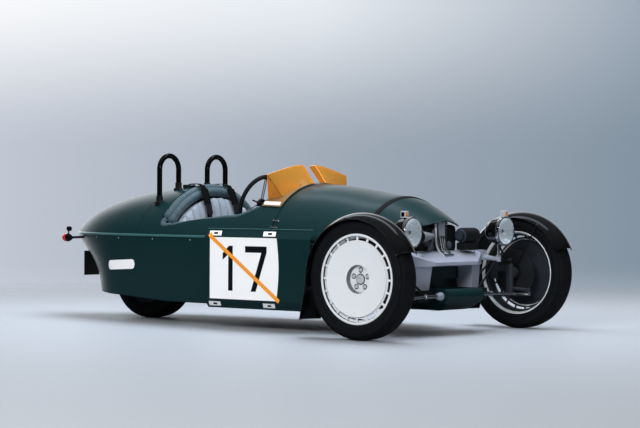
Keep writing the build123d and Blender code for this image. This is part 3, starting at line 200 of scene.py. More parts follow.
def glass(name, colour, rough, share):
    """Clear or tinted sheet: light passes straight through it, tinted, with a glossy skin on top."""
    mat, tree, out = blank(name)
    through = add(tree, "ShaderNodeBsdfTransparent", Color=srgb(colour))
    body = add(tree, "ShaderNodeBsdfDiffuse", Color=srgb(colour))
    mixed = add(tree, "ShaderNodeMixShader", n0=share, n1=through.outputs[0], n2=body.outputs[0])
    skin = add(tree, "ShaderNodeBsdfGlossy", Roughness=rough)
    facing = add(tree, "ShaderNodeFresnel", IOR=1.5)
    both = add(tree, "ShaderNodeMixShader", n0=facing.outputs[0], n1=mixed.outputs[0], n2=skin.outputs[0])
    tree.links.new(both.outputs[0], out.inputs["Surface"])
    return mat


# aero screens: amber acrylic that glows where light passes through it; its cut edges are brighter with a painted glow
amber_screen = glass("amber acrylic", "F3A844", 0.06, 0.42)
# the outer wing's fold: dark brown as painted shade
fold_painted_shade = finish_of("amber fold with painted shade", "4A3320", 0.25)
amber_edge_painted_glow = finish_of(
    "amber acrylic edge with painted glow", "F6B45C", 0.2, Coat_Weight=0.6, Emission_Color=srgb("E8952E"), Emission_Strength=0.35
)


# the seat back: height of its foot, its own height, how much its channels fan out and their pitch
seat_foot_z, back_height, back_fan, back_pitch = 0.289, 0.58, 0.12, 0.062
cushion_pitch, cushion_middle = 0.066, 0.235


def stitched(name, colour, seam_and_shade, pitch, fan=0.0, centre=0.0, line_mm=1.6):
    """Leather with a dark line every pitch, in step with the channel pressed into the pad: partly the sewn seam, partly
    painted shade in its crease.
    """
    mat, tree, out = blank(name)
    place = add(tree, "ShaderNodeTexCoord").outputs["Object"]
    parts = add(tree, "ShaderNodeSeparateXYZ", Vector=place).outputs
    spread = calc(tree, "SUBTRACT", parts[1], centre)
    if fan:
        rise = calc(tree, "MULTIPLY", calc(tree, "SUBTRACT", parts[2], seat_foot_z), fan / back_height)
        spread = calc(tree, "DIVIDE", spread, calc(tree, "ADD", rise, 1.0))
    # the whole number of pitches added keeps the share between two lines positive on both sides
    share = calc(tree, "FRACT", calc(tree, "ADD", calc(tree, "DIVIDE", spread, pitch), 100.5))
    near = calc(tree, "MULTIPLY", calc(tree, "ABSOLUTE", calc(tree, "SUBTRACT", share, 0.5)), pitch)
    # the dark line: sewn seam and painted shade in the channel's crease
    seam = ramp(tree, near, 0.3 * line_mm * mm, line_mm * mm, 1.0, 0.0, smooth=True)
    tint = tinted(tree, seam, srgb(colour), srgb(seam_and_shade))
    grain = add(tree, "ShaderNodeTexNoise", Vector=place, Scale=600.0, Detail=3.0)
    bump = add(tree, "ShaderNodeBump", Height=grain.outputs[0], Distance=0.1 * mm)
    shader = add(
        tree, "ShaderNodeBsdfPrincipled", Base_Color=tint, Roughness=0.45, Normal=bump.outputs[0],
        Sheen_Weight=0.15, Coat_Weight=0.12, Coat_Roughness=0.35,
    )
    tree.links.new(shader.outputs[0], out.inputs["Surface"])
    return mat


# seat leather: pale grey, with a dark line along each sewn channel, partly the seam and partly painted shade in its
# crease
pleated_leather = stitched("pleated pale leather", "87919B", "20262B", back_pitch, fan=back_fan)
cushion_leather = stitched(
    "channelled pale leather", "7F8993", "262C31", cushion_pitch, centre=cushion_middle
)
# tail lamp lens: its faint emission is a painted glow
red_lens = finish_of(
    "red lamp lens with painted glow", "C02222", 0.08, Transmission_Weight=0.1, Coat_Weight=1.0, Emission_Color=srgb("8A1010"),
    Emission_Strength=0.25,
)
amber_lens = finish_of("amber lamp lens", "E08A20", 0.1, Transmission_Weight=0.3, Coat_Weight=1.0)


def fluted_glass():
    """Headlamp lens: clear, with upright flutes that break up the reflector behind."""
    mat, tree, out = blank("fluted lamp glass")
    place = add(tree, "ShaderNodeTexCoord").outputs["Object"]
    flutes = add(
        tree, "ShaderNodeTexWave", {"wave_type": "BANDS", "bands_direction": "Y"}, Vector=place,
        Scale=1 / (18.0 * mm) / 2, Distortion=0.0,
    )
    bump = add(tree, "ShaderNodeBump", Height=flutes.outputs["Fac"], Distance=1.2 * mm, Strength=0.9)
    skin = add(tree, "ShaderNodeBsdfGlossy", Roughness=0.03, Normal=bump.outputs[0])
    through = add(tree, "ShaderNodeBsdfTransparent", Color=srgb("EEF4F6"))
    mixed = add(tree, "ShaderNodeMixShader", n0=0.3, n1=through.outputs[0], n2=skin.outputs[0])
    tree.links.new(mixed.outputs[0], out.inputs["Surface"])
    return mat


lamp_glass = fluted_glass()


def tyre_rubber():
    """Rubber: dark and matt, with zig-zag tread ribs round the crown and fine rings on the sides."""
    mat, tree, out = blank("tyre rubber")
    uv = add(tree, "ShaderNodeTexCoord").outputs["UV"]
    parts = add(tree, "ShaderNodeSeparateXYZ", Vector=uv).outputs
    zigzag = calc(tree, "MULTIPLY", calc(tree, "PINGPONG", parts[0], 0.5), 9.0)
    lane = calc(tree, "PINGPONG", calc(tree, "ADD", parts[1], zigzag), 7.0)
    groove = ramp(tree, lane, 0.8, 1.8)
    off_crown = calc(tree, "ABSOLUTE", parts[1])
    side = ramp(tree, off_crown, 74.0, 78.0)
    height = calc(tree, "MAXIMUM", groove, side)
    rings = calc(tree, "MULTIPLY", calc(tree, "PINGPONG", off_crown, 2.0), side)
    relief = calc(tree, "ADD", height, calc(tree, "MULTIPLY", rings, 0.08))
    bump = add(tree, "ShaderNodeBump", Height=relief, Distance=3.0 * mm, Strength=1.0)
    # painted shade: the tread grooves are coloured darker than the ribs and sidewalls
    tint = tinted(tree, height, srgb("040506"), srgb("131417"))
    shader = add(
        tree, "ShaderNodeBsdfPrincipled", Base_Color=tint, Roughness=0.62, Normal=bump.outputs[0],
        Specular_IOR_Level=0.3,
    )
    tree.links.new(shader.outputs[0], out.inputs["Surface"])
    return mat


rubber = tyre_rubber()


def knurled(name, colour, pitch_mm):
    """Silver plate pressed with a fine raised grid."""
    mat, tree, out = blank(name)
    place = add(tree, "ShaderNodeTexCoord").outputs["Object"]
    parts = add(tree, "ShaderNodeSeparateXYZ", Vector=place).outputs
    across, up = (
        calc(tree, "PINGPONG", calc(tree, "MULTIPLY", part, 1 / (pitch_mm * mm)), 0.5) for part in parts[1:3]
    )
    bump = add(tree, "ShaderNodeBump", Height=calc(tree, "MULTIPLY", across, up), Distance=4.0 * mm)
    shader = add(
        tree, "ShaderNodeBsdfPrincipled", Base_Color=srgb(colour), Roughness=0.4, Metallic=0.6, Normal=bump.outputs[0]
    )
    tree.links.new(shader.outputs[0], out.inputs["Surface"])
    return mat


knurled_plate = knurled("knurled silver plate", "B4BCC6", 5.0)
fin_metal = finish_of("radiator fins", "5C6268", 0.45, Metallic=0.8)
# painted shade: the wall of the hub recess, which lies in its own shade, is coloured grey
recess_painted_shade = finish_of("painted recess shade", "6E757D", 0.45, Metallic=0.2)
# painted shade: the wheels' backs and barrels, the rear wheel, the hub ring and the nuts' seats are coloured dark grey,
# so the slots and the far wheel's inside stay dark
wheel_shadow = finish_of("painted wheel shade", "2A2E34", 0.45, mottle=0.08)
blue_grey_cap = finish_of("blue-grey moulded cap", "2C3440", 0.35)
# silver for the lamp reflectors, indicator frames, hub caps and nuts: its emission is a painted glow standing in for
# the bright reflections it would catch
silver_with_painted_glow = finish_of(
    "silver with painted glow", "F4F7FA", 0.12, Metallic=0.85, Emission_Color=srgb("DCE6F0"), Emission_Strength=0.3
)
rail_green = finish_of("green rail paint", "345E5D", 0.28, Coat_Weight=0.6, Coat_Roughness=0.1)
forged = finish_of("forged steel", "5D636B", 0.38, Metallic=0.8, mottle=0.08)
grey_mesh = finish_of("woven grey filter mesh", "7C8188", 0.55, grain_mm=3.0, grain_depth_mm=0.6)


# ---------------------------------------------------------------- mesh tools
def both_sides(*makers):
    """Runs each maker for the right side of the car, then for the left."""
    for word, side in SIDES:
        for make in makers:
            make(word, side)


def once(side, node_name):
    """A node that has both sides in it is stood for by the right side's piece alone."""
    return node_name if side < 0 else ()


def piece(name, verts, faces, mat, body, slot=None, replaces=(), smooth=True, inner=None):
    """Mesh object that rides on a body; inner is the second material slot."""
    mesh = bpy.data.meshes.new(name)
    mesh.from_pydata([tuple(v) for v in verts], [], faces)
    mesh.update()
    obj = bpy.data.objects.new(name, mesh)
    bpy.context.collection.objects.link(obj)
    for m in (mat, inner):
        if m:
            mesh.materials.append(m)
    if smooth:
        mesh.polygons.foreach_set("use_smooth", [True] * len(mesh.polygons))
    settle(obj, body, replaces)
    return obj


def settle(obj, body, replaces=()):
    """Puts a finished piece on its body and what it stands for."""
    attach(obj, body)
    if replaces:
        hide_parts(*([replaces] if isinstance(replaces, str) else replaces))


def grid_faces(rows, columns, close_rows=False, close_columns=False, flip=False, start=0):
    """Quads over a grid of points stored row by row."""
    faces = []
    for i in range(rows if close_rows else rows - 1):
        for j in range(columns if close_columns else columns - 1):
            a, b = i * columns + j, i * columns + (j + 1) % columns
            c, e = (i + 1) % rows * columns + (j + 1) % columns, (i + 1) % rows * columns + j
            quad = (a, b, c, e) if not flip else (e, c, b, a)
            faces.append(tuple(start + q for q in quad))
    return faces


def sheet(name, grid, mat, body, thickness=0.0, flip=False, close_rows=False, close_columns=False, **more):
    """Surface through a grid of points, given a thickness on the side its normals don't face."""
    columns = len(grid[0])
    verts = [p for row in grid for p in row]
    faces = grid_faces(len(grid), columns, close_rows, close_columns, flip)
    obj = piece(name, verts, faces, mat, body, **more)
    if thickness:
        thicken(obj, thickness)
    return obj


def thicken(obj, thickness):
    """Solidify inwards, the inside in the piece's second material if it has one."""
    mod = obj.modifiers.new("thickness", "SOLIDIFY")
    mod.thickness = thickness * mm
    mod.offset = -1.0
    mod.use_even_offset = True
    if len(obj.data.materials) > 1:
        mod.material_offset = 1
    edge_split(obj)


def edge_split(obj, angle=35.0):
    """Keeps corners sharp on a smooth-shaded piece."""
    mod = obj.modifiers.new("crisp corners", "EDGE_SPLIT")
    mod.split_angle = math.radians(angle)


def soften(obj, width, segments=2, angle=30.0):
    """Rounded edges."""
    mod = obj.modifiers.new("rounded edges", "BEVEL")
    mod.width = width * mm
    mod.segments = segments
    mod.limit_method = "ANGLE"
    mod.angle_limit = math.radians(angle)
    mod.harden_normals = True


def rounded(points, radius, closed=False, steps=4):
    """A 2-D outline with its corners turned into arcs."""
    out = []
    count = len(points)
    for i, p in enumerate(points):
        if not closed and i in (0, count - 1):
            out.append(tuple(p))
            continue
        p = np.array(p, float)
        a, b = np.array(points[i - 1], float) - p, np.array(points[(i + 1) % count], float) - p
        la, lb = np.linalg.norm(a), np.linalg.norm(b)
        cosine = float(np.clip(a @ b / (la * lb), -1, 1))
        half = math.acos(cosine) / 2
        if half > 1.53:
            out.append(tuple(p))
            continue
        reach = min(radius / math.tan(half), 0.45 * la, 0.45 * lb)
        start, end = p + a / la * reach, p + b / lb * reach
        for k in range(steps + 1):
            t = k / steps
            out.append(tuple((1 - t) ** 2 * start + 2 * t * (1 - t) * p + t * t * end))
    return out


def lathe(name, outline, centre, axis, mat, body, segments=96, closed=False, uv_turns=0, **more):
    """Revolved outline of (radius, offset) in mm about an axis; uv_turns repeats its pattern round it."""
    axis = Vector(axis).normalized()
    side = axis.orthogonal().normalized()
    other = axis.cross(side)
    centre = Vector(centre)
    grid = []
    for i in range(segments):
        angle = 2 * math.pi * i / segments
        out = side * math.cos(angle) + other * math.sin(angle)
        grid.append([centre + out * r * mm + axis * t * mm for r, t in outline])
    obj = sheet(name, grid, mat, body, close_rows=True, close_columns=closed, **more)
    if uv_turns:
        lathe_uv(obj, outline, segments, uv_turns)
    mend(obj)
    return obj


def lathe_uv(obj, outline, segments, turns):
    """U counts pattern repeats round the axis, V is the distance in mm along the outline from its middle."""
    run = [0.0]
    for a, b in zip(outline, outline[1:]):
        run.append(run[-1] + math.dist(a, b))
    middle_run = run[-1] / 2
    layer = obj.data.uv_layers.new(name="UVMap")
    columns = len(outline)
    for poly in obj.data.polygons:
        rows = [obj.data.loops[k].vertex_index // columns for k in poly.loop_indices]
        wraps = max(rows) - min(rows) > 1
        for k in poly.loop_indices:
            row, col = divmod(obj.data.loops[k].vertex_index, columns)
            if wraps and row == 0:
                row = segments
            layer.data[k].uv = (row / segments * turns, run[col] - middle_run)


def edit(obj, change):
    """Runs a change on a piece's mesh."""
    bm = bmesh.new()
    bm.from_mesh(obj.data)
    change(bm)
    bm.to_mesh(obj.data)
    bm.free()


def mend(obj):
    """Welds points that coincide and turns the normals outwards."""
    def change(bm):
        bmesh.ops.remove_doubles(bm, verts=bm.verts, dist=1e-6)
        bmesh.ops.recalc_face_normals(bm, faces=bm.faces)

    edit(obj, change)


def close_ends(obj, sections, count):
    """Faces over both ends of a tube that has count rings."""
    def change(bm):
        bm.verts.ensure_lookup_table()
        for start in (0, (count - 1) * sections):
            bm.faces.new([bm.verts[start + k] for k in range(sections)])

    edit(obj, change)


def box(name, low, high, mat, body, round_mm=2.0, **more):
    """Block between two corners in metres, with rounded edges."""
    low, high = [min(a, b) for a, b in zip(low, high)], [max(a, b) for a, b in zip(low, high)]
    verts = [(x, y, z) for x in (low[0], high[0]) for y in (low[1], high[1]) for z in (low[2], high[2])]
    faces = [(0, 1, 3, 2), (4, 6, 7, 5), (0, 4, 5, 1), (2, 3, 7, 6), (0, 2, 6, 4), (1, 5, 7, 3)]
    obj = piece(name, verts, faces, mat, body, **more)
    mend(obj)
    soften(obj, round_mm, 3)
    return obj


def bar(name, points, radius, mat, body, closed=False, rounds=None, **more):
    """Round bar through points; rounds is the bend radius in mm at the inner points."""
    line = [Vector(p) for p in points]
    if rounds:
        line = bent(line, rounds, closed)
    sections = 20
    frames = follow(line, closed)
    grid = []
    for p, (side, other) in zip(line, frames):
        ring = []
        for k in range(sections):
            a = 2 * math.pi * k / sections
            ring.append(p + (side * math.cos(a) + other * math.sin(a)) * radius * mm)
        grid.append(ring)
    obj = sheet(name, grid, mat, body, close_rows=closed, close_columns=True, **more)
    if not closed:
        close_ends(obj, sections, len(line))
        for poly in obj.data.polygons[-2:]:
            poly.use_smooth = False
    mend(obj)
    edge_split(obj, 50)
    return obj


def bent(line, radius, closed=False, steps=10):
    """Points of a run with its corners rounded in space."""
    out = []
    count = len(line)
    for i, p in enumerate(line):
        if not closed and i in (0, count - 1):
            out.append(p)
            continue
        a, b = line[i - 1] - p, line[(i + 1) % count] - p
        half = a.angle(b) / 2
        if half > 1.5:
            out.append(p)
            continue
        reach = min(radius * mm / math.tan(half), 0.48 * a.length, 0.48 * b.length)
        start, end = p + a.normalized() * reach, p + b.normalized() * reach
        centre = p + (a.normalized() + b.normalized()).normalized() * (reach / math.cos(half))
        u, v = (start - centre), (end - centre)
        whole = u.angle(v)
        for k in range(steps + 1):
            t = k / steps
            out.append(centre + (u * math.sin((1 - t) * whole) + v * math.sin(t * whole)) / math.sin(whole))
    return out


def follow(line, closed=False):
    """Two directions across a line at each of its points, without twist."""
    count = len(line)
    ways = []
    for i in range(count):
        before = line[i - 1] if closed or i else line[0]
        after = line[(i + 1) % count] if closed or i < count - 1 else line[-1]
        ways.append((after - before).normalized())
    side = ways[0].orthogonal().normalized()
    frames = []
    for way in ways:
        side = (side - way * side.dot(way)).normalized()
        frames.append((side, way.cross(side)))
    return frames


def strap(name, points, across, width, thickness, mat, body, **more):
    """Flat band through points, its width along the given direction."""
    line = [Vector(p) for p in points]
    across = Vector(across).normalized()
    grid = []
    for i, p in enumerate(line):
        way = (line[min(i + 1, len(line) - 1)] - line[max(i - 1, 0)]).normalized()
        out = way.cross(across).normalized()
        w, t = across * width / 2 * mm, out * thickness / 2 * mm
        grid.append([p - w - t, p + w - t, p + w + t, p - w + t])
    obj = sheet(name, grid, mat, body, close_columns=True, **more)
    mend(obj)
    soften(obj, thickness * 0.3, 2)
    return obj


def bolt(name, place, direction, radius, height, mat, body, **more):
    """Domed round head standing on a surface."""
    outline = [(0.0, height), (radius * 0.6, height * 0.92), (radius, height * 0.5), (radius, -0.5)]
    return lathe(name, outline, place, direction, mat, body, segments=16, **more)


# ---------------------------------------------------------------- the body's own curves
belt = 580.0
firewall_d, shoulder_d, widest_d = 993.0, 2400.0, 1370.0
widest_half, firewall_half = 548.0, 535.5
nose_d, nose_half = 330.0, 486.0
tail_d, tail_radius = 3182.0, 200.0
flank_radius = ((widest_d - firewall_d) ** 2 + (widest_half - firewall_half) ** 2) / (2 * (widest_half - firewall_half))
# how the tail tucks under: height, end of the tail, how much narrower than the belt
TUCK = (
    (150.0, 2898.0, 18.0), (243.0, 2932.0, 13.0), (302.0, 2954.0, 9.0), (355.0, 2986.0, 6.0), (413.0, 3032.0, 4.0),
    (470.0, 3088.0, 2.5), (519.0, 3133.0, 1.0), (580.0, 3182.0, 0.0),
)
# height of the deck's crest behind the firewall, by distance
REAR_CREST = (
    (993.0, 926.0), (1500.0, 930.0), (2000.0, 922.0), (2270.0, 894.0), (2500.0, 863.0), (2690.0, 827.0),
    (2820.0, 795.0), (2930.0, 758.0), (3050.0, 704.0), (3130.0, 652.0), (3172.0, 608.0),
)
# ahead of it: distance, half width at the belt, height of the crest
FRONT_DECK = (
    (-30.0, 200.0, 660.0), (20.0, 262.0, 702.0), (60.0, 318.0, 729.0), (110.0, 368.0, 757.0), (160.0, 408.0, 784.0),
    (220.0, 444.0, 815.0), (300.0, 478.0, 845.0), (460.0, 495.7, 869.0), (630.0, 508.4, 895.0),
    (800.0, 521.1, 915.5), (993.0, 535.5, 926.0),
)
# edge of the cockpit's mouth: distance, half width
MOUTH = (
    (1165.0, 385.0), (1180.0, 400.0), (1205.0, 415.0), (1250.0, 438.0), (1321.0, 464.0), (1420.0, 467.0),
    (1880.0, 487.0), (1970.0, 480.0), (2001.0, 462.0),
)


def along(rows, x):
    """A table's other columns at x, on a smooth curve through its rows."""
    i = max(0, min(len(rows) - 2, int(np.searchsorted([r[0] for r in rows], x)) - 1))
    before, start, end, after = rows[max(i - 1, 0)], rows[i], rows[i + 1], rows[min(i + 2, len(rows) - 1)]
    length = end[0] - start[0]
    t = (x - start[0]) / length
    out = []
    for c in range(1, len(start)):
        m0 = (end[c] - before[c]) / (end[0] - before[0]) * length
        m1 = (after[c] - start[c]) / (after[0] - start[0]) * length
        out.append(
            (2 * t**3 - 3 * t**2 + 1) * start[c] + (t**3 - 2 * t**2 + t) * m0
            + (3 * t**2 - 2 * t**3) * end[c] + (t**3 - t**2) * m1
        )
    return out


def outline(end_d, narrower, counts=(14, 60, 40, 16)):
    """Half plan of the body from the nose to the tail's tip, as (distance behind, half width)."""
    flank_y = widest_half - flank_radius - narrower
    lean = math.asin((shoulder_d - widest_d) / flank_radius)
    shoulder = (shoulder_d, flank_y + flank_radius * math.cos(lean))
    waist = (firewall_d, flank_y + math.sqrt(flank_radius ** 2 - (firewall_d - widest_d) ** 2))
    centre_d = end_d - tail_radius
    low, high = 0.0, math.pi / 2
    for _ in range(40):
        s = (low + high) / 2
        dy = shoulder[1] - tail_radius * math.sin(s)
        dx = centre_d + tail_radius * math.cos(s) - shoulder[0]
        if 2 * math.atan2(dy, dx) > math.pi / 2 - s + lean:
            high = s
        else:
            low = s
    quarter = (centre_d + tail_radius * math.cos(s), tail_radius * math.sin(s))
    nx, ny = -math.sin(lean), -math.cos(lean)
    dx, dy = quarter[0] - shoulder[0], quarter[1] - shoulder[1]
    r = (dx * dx + dy * dy) / (2 * (dx * nx + dy * ny))
    cx, cy = shoulder[0] + r * nx, shoulder[1] + r * ny
    points = []
    for k in range(counts[0]):
        t = k / counts[0]
        points.append((nose_d + t * (waist[0] - nose_d), nose_half - narrower + t * (waist[1] - nose_half + narrower)))
    for k in range(counts[1]):
        d = firewall_d + (shoulder_d - firewall_d) * k / counts[1]
        points.append((d, flank_y + math.sqrt(flank_radius ** 2 - (d - widest_d) ** 2)))
    a0, a1 = math.atan2(shoulder[1] - cy, shoulder[0] - cx), math.atan2(quarter[1] - cy, quarter[0] - cx)
    for k in range(counts[2]):
        a = a0 + (a1 - a0) * k / counts[2]
        points.append((cx + r * math.cos(a), cy + r * math.sin(a)))
    for k in range(counts[3] + 1):
        a = s * (1 - k / counts[3])
        points.append((centre_d + tail_radius * math.cos(a), tail_radius * math.sin(a)))
    return np.array(points)


belt_outline = outline(tail_d, 0.0)


def half_at(d):
    """Half width at the belt."""
    return float(np.interp(d, belt_outline[:, 0], belt_outline[:, 1]))


def deck(d):
    """Half width, crest height, radius and centre height of the deck's round section."""
    if d < firewall_d:
        half, crest = along(FRONT_DECK, max(d, FRONT_DECK[0][0]))
    else:
        half, crest = half_at(d), along(REAR_CREST, min(d, REAR_CREST[-1][0]))[0]
        if d > REAR_CREST[-1][0]:
            crest += (belt + 2 - crest) * (d - REAR_CREST[-1][0]) / (tail_d - REAR_CREST[-1][0])
    rise = max(crest - belt, 1.0)
    radius = (half * half + rise * rise) / (2 * rise)
    return half, crest, radius, crest - radius


def on_deck(d, y, lift=0.0):
    """Point on the deck at an offset y, lifted along the section's radius."""
    _, _, radius, centre_z = deck(d)
    a = math.asin(max(-1.0, min(1.0, y / radius)))
    return at(d, (radius + lift) * math.sin(a), centre_z + (radius + lift) * math.cos(a))


def section(d, low_z, count, y_from=None, y_to=None):
    """Points across the deck from right to left, down to low_z or between two offsets."""
    _, _, radius, centre_z = deck(d)
    reach = math.acos(max(-1.0, min(1.0, (low_z - centre_z) / radius)))
    start = -reach if y_from is None else math.asin(y_from / radius)
    end = reach if y_to is None else math.asin(y_to / radius)
    return [
        at(d, radius * math.sin(a), centre_z + radius * math.cos(a)) for a in np.linspace(start, end, count)
    ]


def steps(start, end, size):
    """Even steps of about one size."""
    return np.linspace(start, end, max(2, round(abs(end - start) / size) + 1))


# ---------------------------------------------------------------- decks and bonnet
deck_columns = 65


def bonnet():
    """Bonnet, and the lip that carries it on under the nose's rear edge."""
    grid = [section(d, belt + 0.6, deck_columns) for d in steps(nose_d, 991.0, 18)]
    front = [section(d, belt + 84.0, deck_columns) for d in steps(308.0, nose_d, 12)]
    sheet("bonnet_skin", grid, green_paint, "chassis", 8.0, inner=black_trim, slot="green_paint", replaces="bonnet")
    sheet("bonnet_front_skin", front, green_paint, "chassis", 8.0, inner=black_trim, slot="green_paint")


def nose():
    """Nose cowl with its rounded leading edge."""
    low = ((18.0, 686.0), (26.0, 677.0), (40.0, 669.0), (110.0, 664.0), (278.0, 725.0))
    grid = []
    for d in steps(279.0, 18.0, 6):
        grid.append(section(d, float(np.interp(d, [p[0] for p in low], [p[1] for p in low])), deck_columns))
    # the rounded leading edge: smaller and smaller copies of the first section
    edge = grid[-1]
    centre = at(18.0, 0, 680.0)
    for k in range(1, 6):
        a = math.pi / 2 * k / 5
        shrink, ahead = 1 - 0.07 * (1 - math.cos(a)), 9.0 * math.sin(a)
        grid.append([
            Vector((p.x + ahead * mm, centre.y + (p.y - centre.y) * shrink, centre.z + (p.z - centre.z) * shrink))
            for p in edge
        ])
    sheet("nose_skin", grid, green_paint, "chassis", 7.0, flip=True, inner=black_trim, slot="green_paint",
          replaces="nose_cowl")


def front_seal():
    """Black rubber seal that stands a little proud between the bonnet and the nose."""
    rows = []
    for d, lift in ((272.0, -3.0), (276.0, 2.5), (284.0, 5.0), (300.0, 5.0), (309.0, 2.5), (313.0, -3.0)):
        _, _, radius, centre_z = deck(d)
        reach = math.acos((belt + 88.0 - centre_z) / radius)
        rows.append([
            at(d, (radius + lift) * math.sin(a), centre_z + (radius + lift) * math.cos(a))
            for a in np.linspace(-reach, reach, deck_columns)
        ])
    sheet("bonnet_front_seal", rows, black_trim, "chassis", 0.0, slot="black_plastic")


def scuttle():
    """Fixed deck from the bonnet to the boot lid, with the cockpit mouth left open."""
    rows = sorted(set(
        list(steps(996.0, 1165.0, 12)) + [1172.0, 1180.0, 1190.0, 1205.0, 1225.0, 1250.0, 1285.0, 1321.0]
        + list(steps(1321.0, 1970.0, 26))
        + [1986.0, 2001.0] + list(steps(2001.0, 2208.0, 14))
    ))
    verts, faces = [], []
    side_columns, middle_columns = 17, 41
    for side in (-1, 1):
        grid = []
        for d in rows:
            inner = float(np.interp(d, [m[0] for m in MOUTH], [m[1] for m in MOUTH]))
            row = section(d, belt + 0.6, side_columns, y_to=-inner)
            if side == 1:
                row = [Vector((p.x, -p.y, p.z)) for p in reversed(row)]
            grid.append(row)
        faces += grid_faces(len(grid), side_columns, start=len(verts))
        verts += [p for row in grid for p in row]
    for d_rows, reach in ((rows[:rows.index(1165.0) + 1], 385.0), (rows[rows.index(2001.0):], 462.0)):
        grid = [section(d, belt, middle_columns, -reach, reach) for d in d_rows]
        faces += grid_faces(len(grid), middle_columns, start=len(verts))
        verts += [p for row in grid for p in row]
    obj = piece("scuttle_skin", verts, faces, green_paint, "chassis", slot="green_paint", replaces="scuttle",
                inner=black_trim)
    edit(obj, lambda bm: bmesh.ops.remove_doubles(bm, verts=bm.verts, dist=2e-5))
    thicken(obj, 10.0)


def tail_lid():
    """Boot lid, down to the tail's tip."""
    grid = [section(d, belt + 0.8, 73) for d in list(steps(2211.0, 3172.0, 16)) + [3176.0, 3179.0, 3181.5]]
    sheet("boot_lid_skin", grid, green_paint, "boot_lid", 8.0, inner=black_trim, slot="green_paint",
          replaces="boot_lid")


def underside_z(d):
    """Height of the body's lower edge, which rises towards the tail."""
    return float(np.interp(d, [1900.0, 2350.0, 3300.0], [150.0, 172.0, 196.0]))


def hull():
    """Lower body: one smooth skin from the nose round the tail, and its floor."""
    levels = np.linspace(150.0, belt, 87)
    plans = np.array([outline(*along(TUCK, z)) for z in levels])
    columns = plans.shape[1]
    depth = 34
    half = []
    for k in range(depth):
        t = k / (depth - 1)
        row = []
        for j in range(columns):
            low = underside_z(belt_outline[j, 0])
            z = belt - 0.4 + t * (low - belt + 0.4)
            d = float(np.interp(z, levels, plans[:, j, 0]))
            y = float(np.interp(z, levels, plans[:, j, 1]))
            row.append((d, y, z))
        half.append(row)
    grid = [
        [at(d, -y, z) for d, y, z in row] + [at(d, y, z) for d, y, z in reversed(row[:-1])] for row in half
    ]
    wide = len(grid[0])
    verts = [p for row in grid for p in row]
    faces = grid_faces(depth, wide)
    base = (depth - 1) * wide
    for j in range(columns - 2):
        a, b = base + j, base + j + 1
        c, e = base + wide - 2 - j, base + wide - 1 - j
        faces.append((a, b, c, e))
    faces.append((base + columns - 2, base + columns - 1, base + columns))
    obj = piece("lower_body_skin", verts, faces, green_paint, "chassis", slot="green_paint", replaces="lower_body",
                inner=black_trim)
    mend(obj)
    thicken(obj, 9.0)
    return obj


def cut_box(obj, low, high):
    """Takes a block out of a piece for good."""
    bpy.ops.mesh.primitive_cube_add(size=1.0)
    tool = bpy.context.object
    tool.scale = [b - a for a, b in zip(low, high)]
    tool.location = [(a + b) / 2 for a, b in zip(low, high)]
    carve(obj, tool)


def carve(obj, tool):
    """Takes a tool's volume out of a piece and removes the tool."""
    mod = obj.modifiers.new("cut", "BOOLEAN")
    mod.object = tool
    mod.operation = "DIFFERENCE"
    bpy.context.view_layer.update()
    bake(obj)
    bpy.data.objects.remove(tool, do_unlink=True)


def drill(obj, loops, ends):
    """Cuts a hole through a piece for each closed loop of (x, z), between two values of y."""
    verts, faces = [], []
    for loop in loops:
        start, n = len(verts), len(loop)
        verts += [(x, y, z) for y in ends for x, z in loop]
        faces += [tuple(range(start, start + n)), tuple(range(start + 2 * n - 1, start + n - 1, -1))]
        faces += [(start + k, start + (k + 1) % n, start + n + (k + 1) % n, start + n + k) for k in range(n)]
    mesh = bpy.data.meshes.new("drill")
    mesh.from_pydata(verts, [], faces)
    tool = bpy.data.objects.new("drill", mesh)
    bpy.context.collection.objects.link(tool)
    mend(tool)
    carve(obj, tool)
    edge_split(obj, 40)


def bake(obj):
    """Applies a piece's modifiers."""
    graph = bpy.context.evaluated_depsgraph_get()
    mesh = bpy.data.meshes.new_from_object(obj.evaluated_get(graph))
    obj.modifiers.clear()
    obj.data = mesh


def belt_rail(word, side):
    """Green half-round strip over the seam, from the side plates to the tail."""
    points = [at(d, side * (y + 2.0), belt + 1) for d, y in belt_outline if 1452 <= d <= 3060]
    bar(f"belt_rail_{word}", points, 8.5, rail_green, "chassis", slot="rail_paint",
        replaces=once(side, "belt_rails"))


bonnet()
nose()
front_seal()
scuttle()
tail_lid()
lower = hull()
# the rear wheel's opening: the room in front, behind and beside its tyre, and how high it is cut
tyre_low, tyre_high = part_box("rear_tyre")
room_x, room_y, cut_top = 0.014, 0.022, 0.30
cut_box(
    lower, (tyre_low[0] - room_x, tyre_low[1] - room_y, 0.05), (tyre_high[0] + room_x, tyre_high[1] + room_y, cut_top)
)
both_sides(belt_rail)


# ---------------------------------------------------------------- tyres and wheels
# how far up its sidewall a tyre is widest, as a share
widest_share = 0.45


def tyre_outline(radius, half, bead, bead_half):
    """Outer section of a tyre from bead to bead, softly squared at the shoulders."""
    side = [
        (bead, -bead_half + 10), (bead, -bead_half), (bead + 10, -bead_half - 3),
        (bead + (radius - bead) * widest_share, -half), (radius - 24, -half + 3), (radius - 6, -half + 16),
        (radius - 1, -half * 0.5), (radius, 0.0),
    ]
    whole = side + [(r, -t) for r, t in reversed(side[:-1])]
    line = rounded(whole, 14.0, steps=6)
    fine = [line[0]]
    for a, b in zip(line, line[1:]):
        count = max(1, round(math.dist(a, b) / 5.0))
        fine += [tuple(np.array(a) + (np.array(b) - np.array(a)) * k / count) for k in range(1, count + 1)]
    return fine


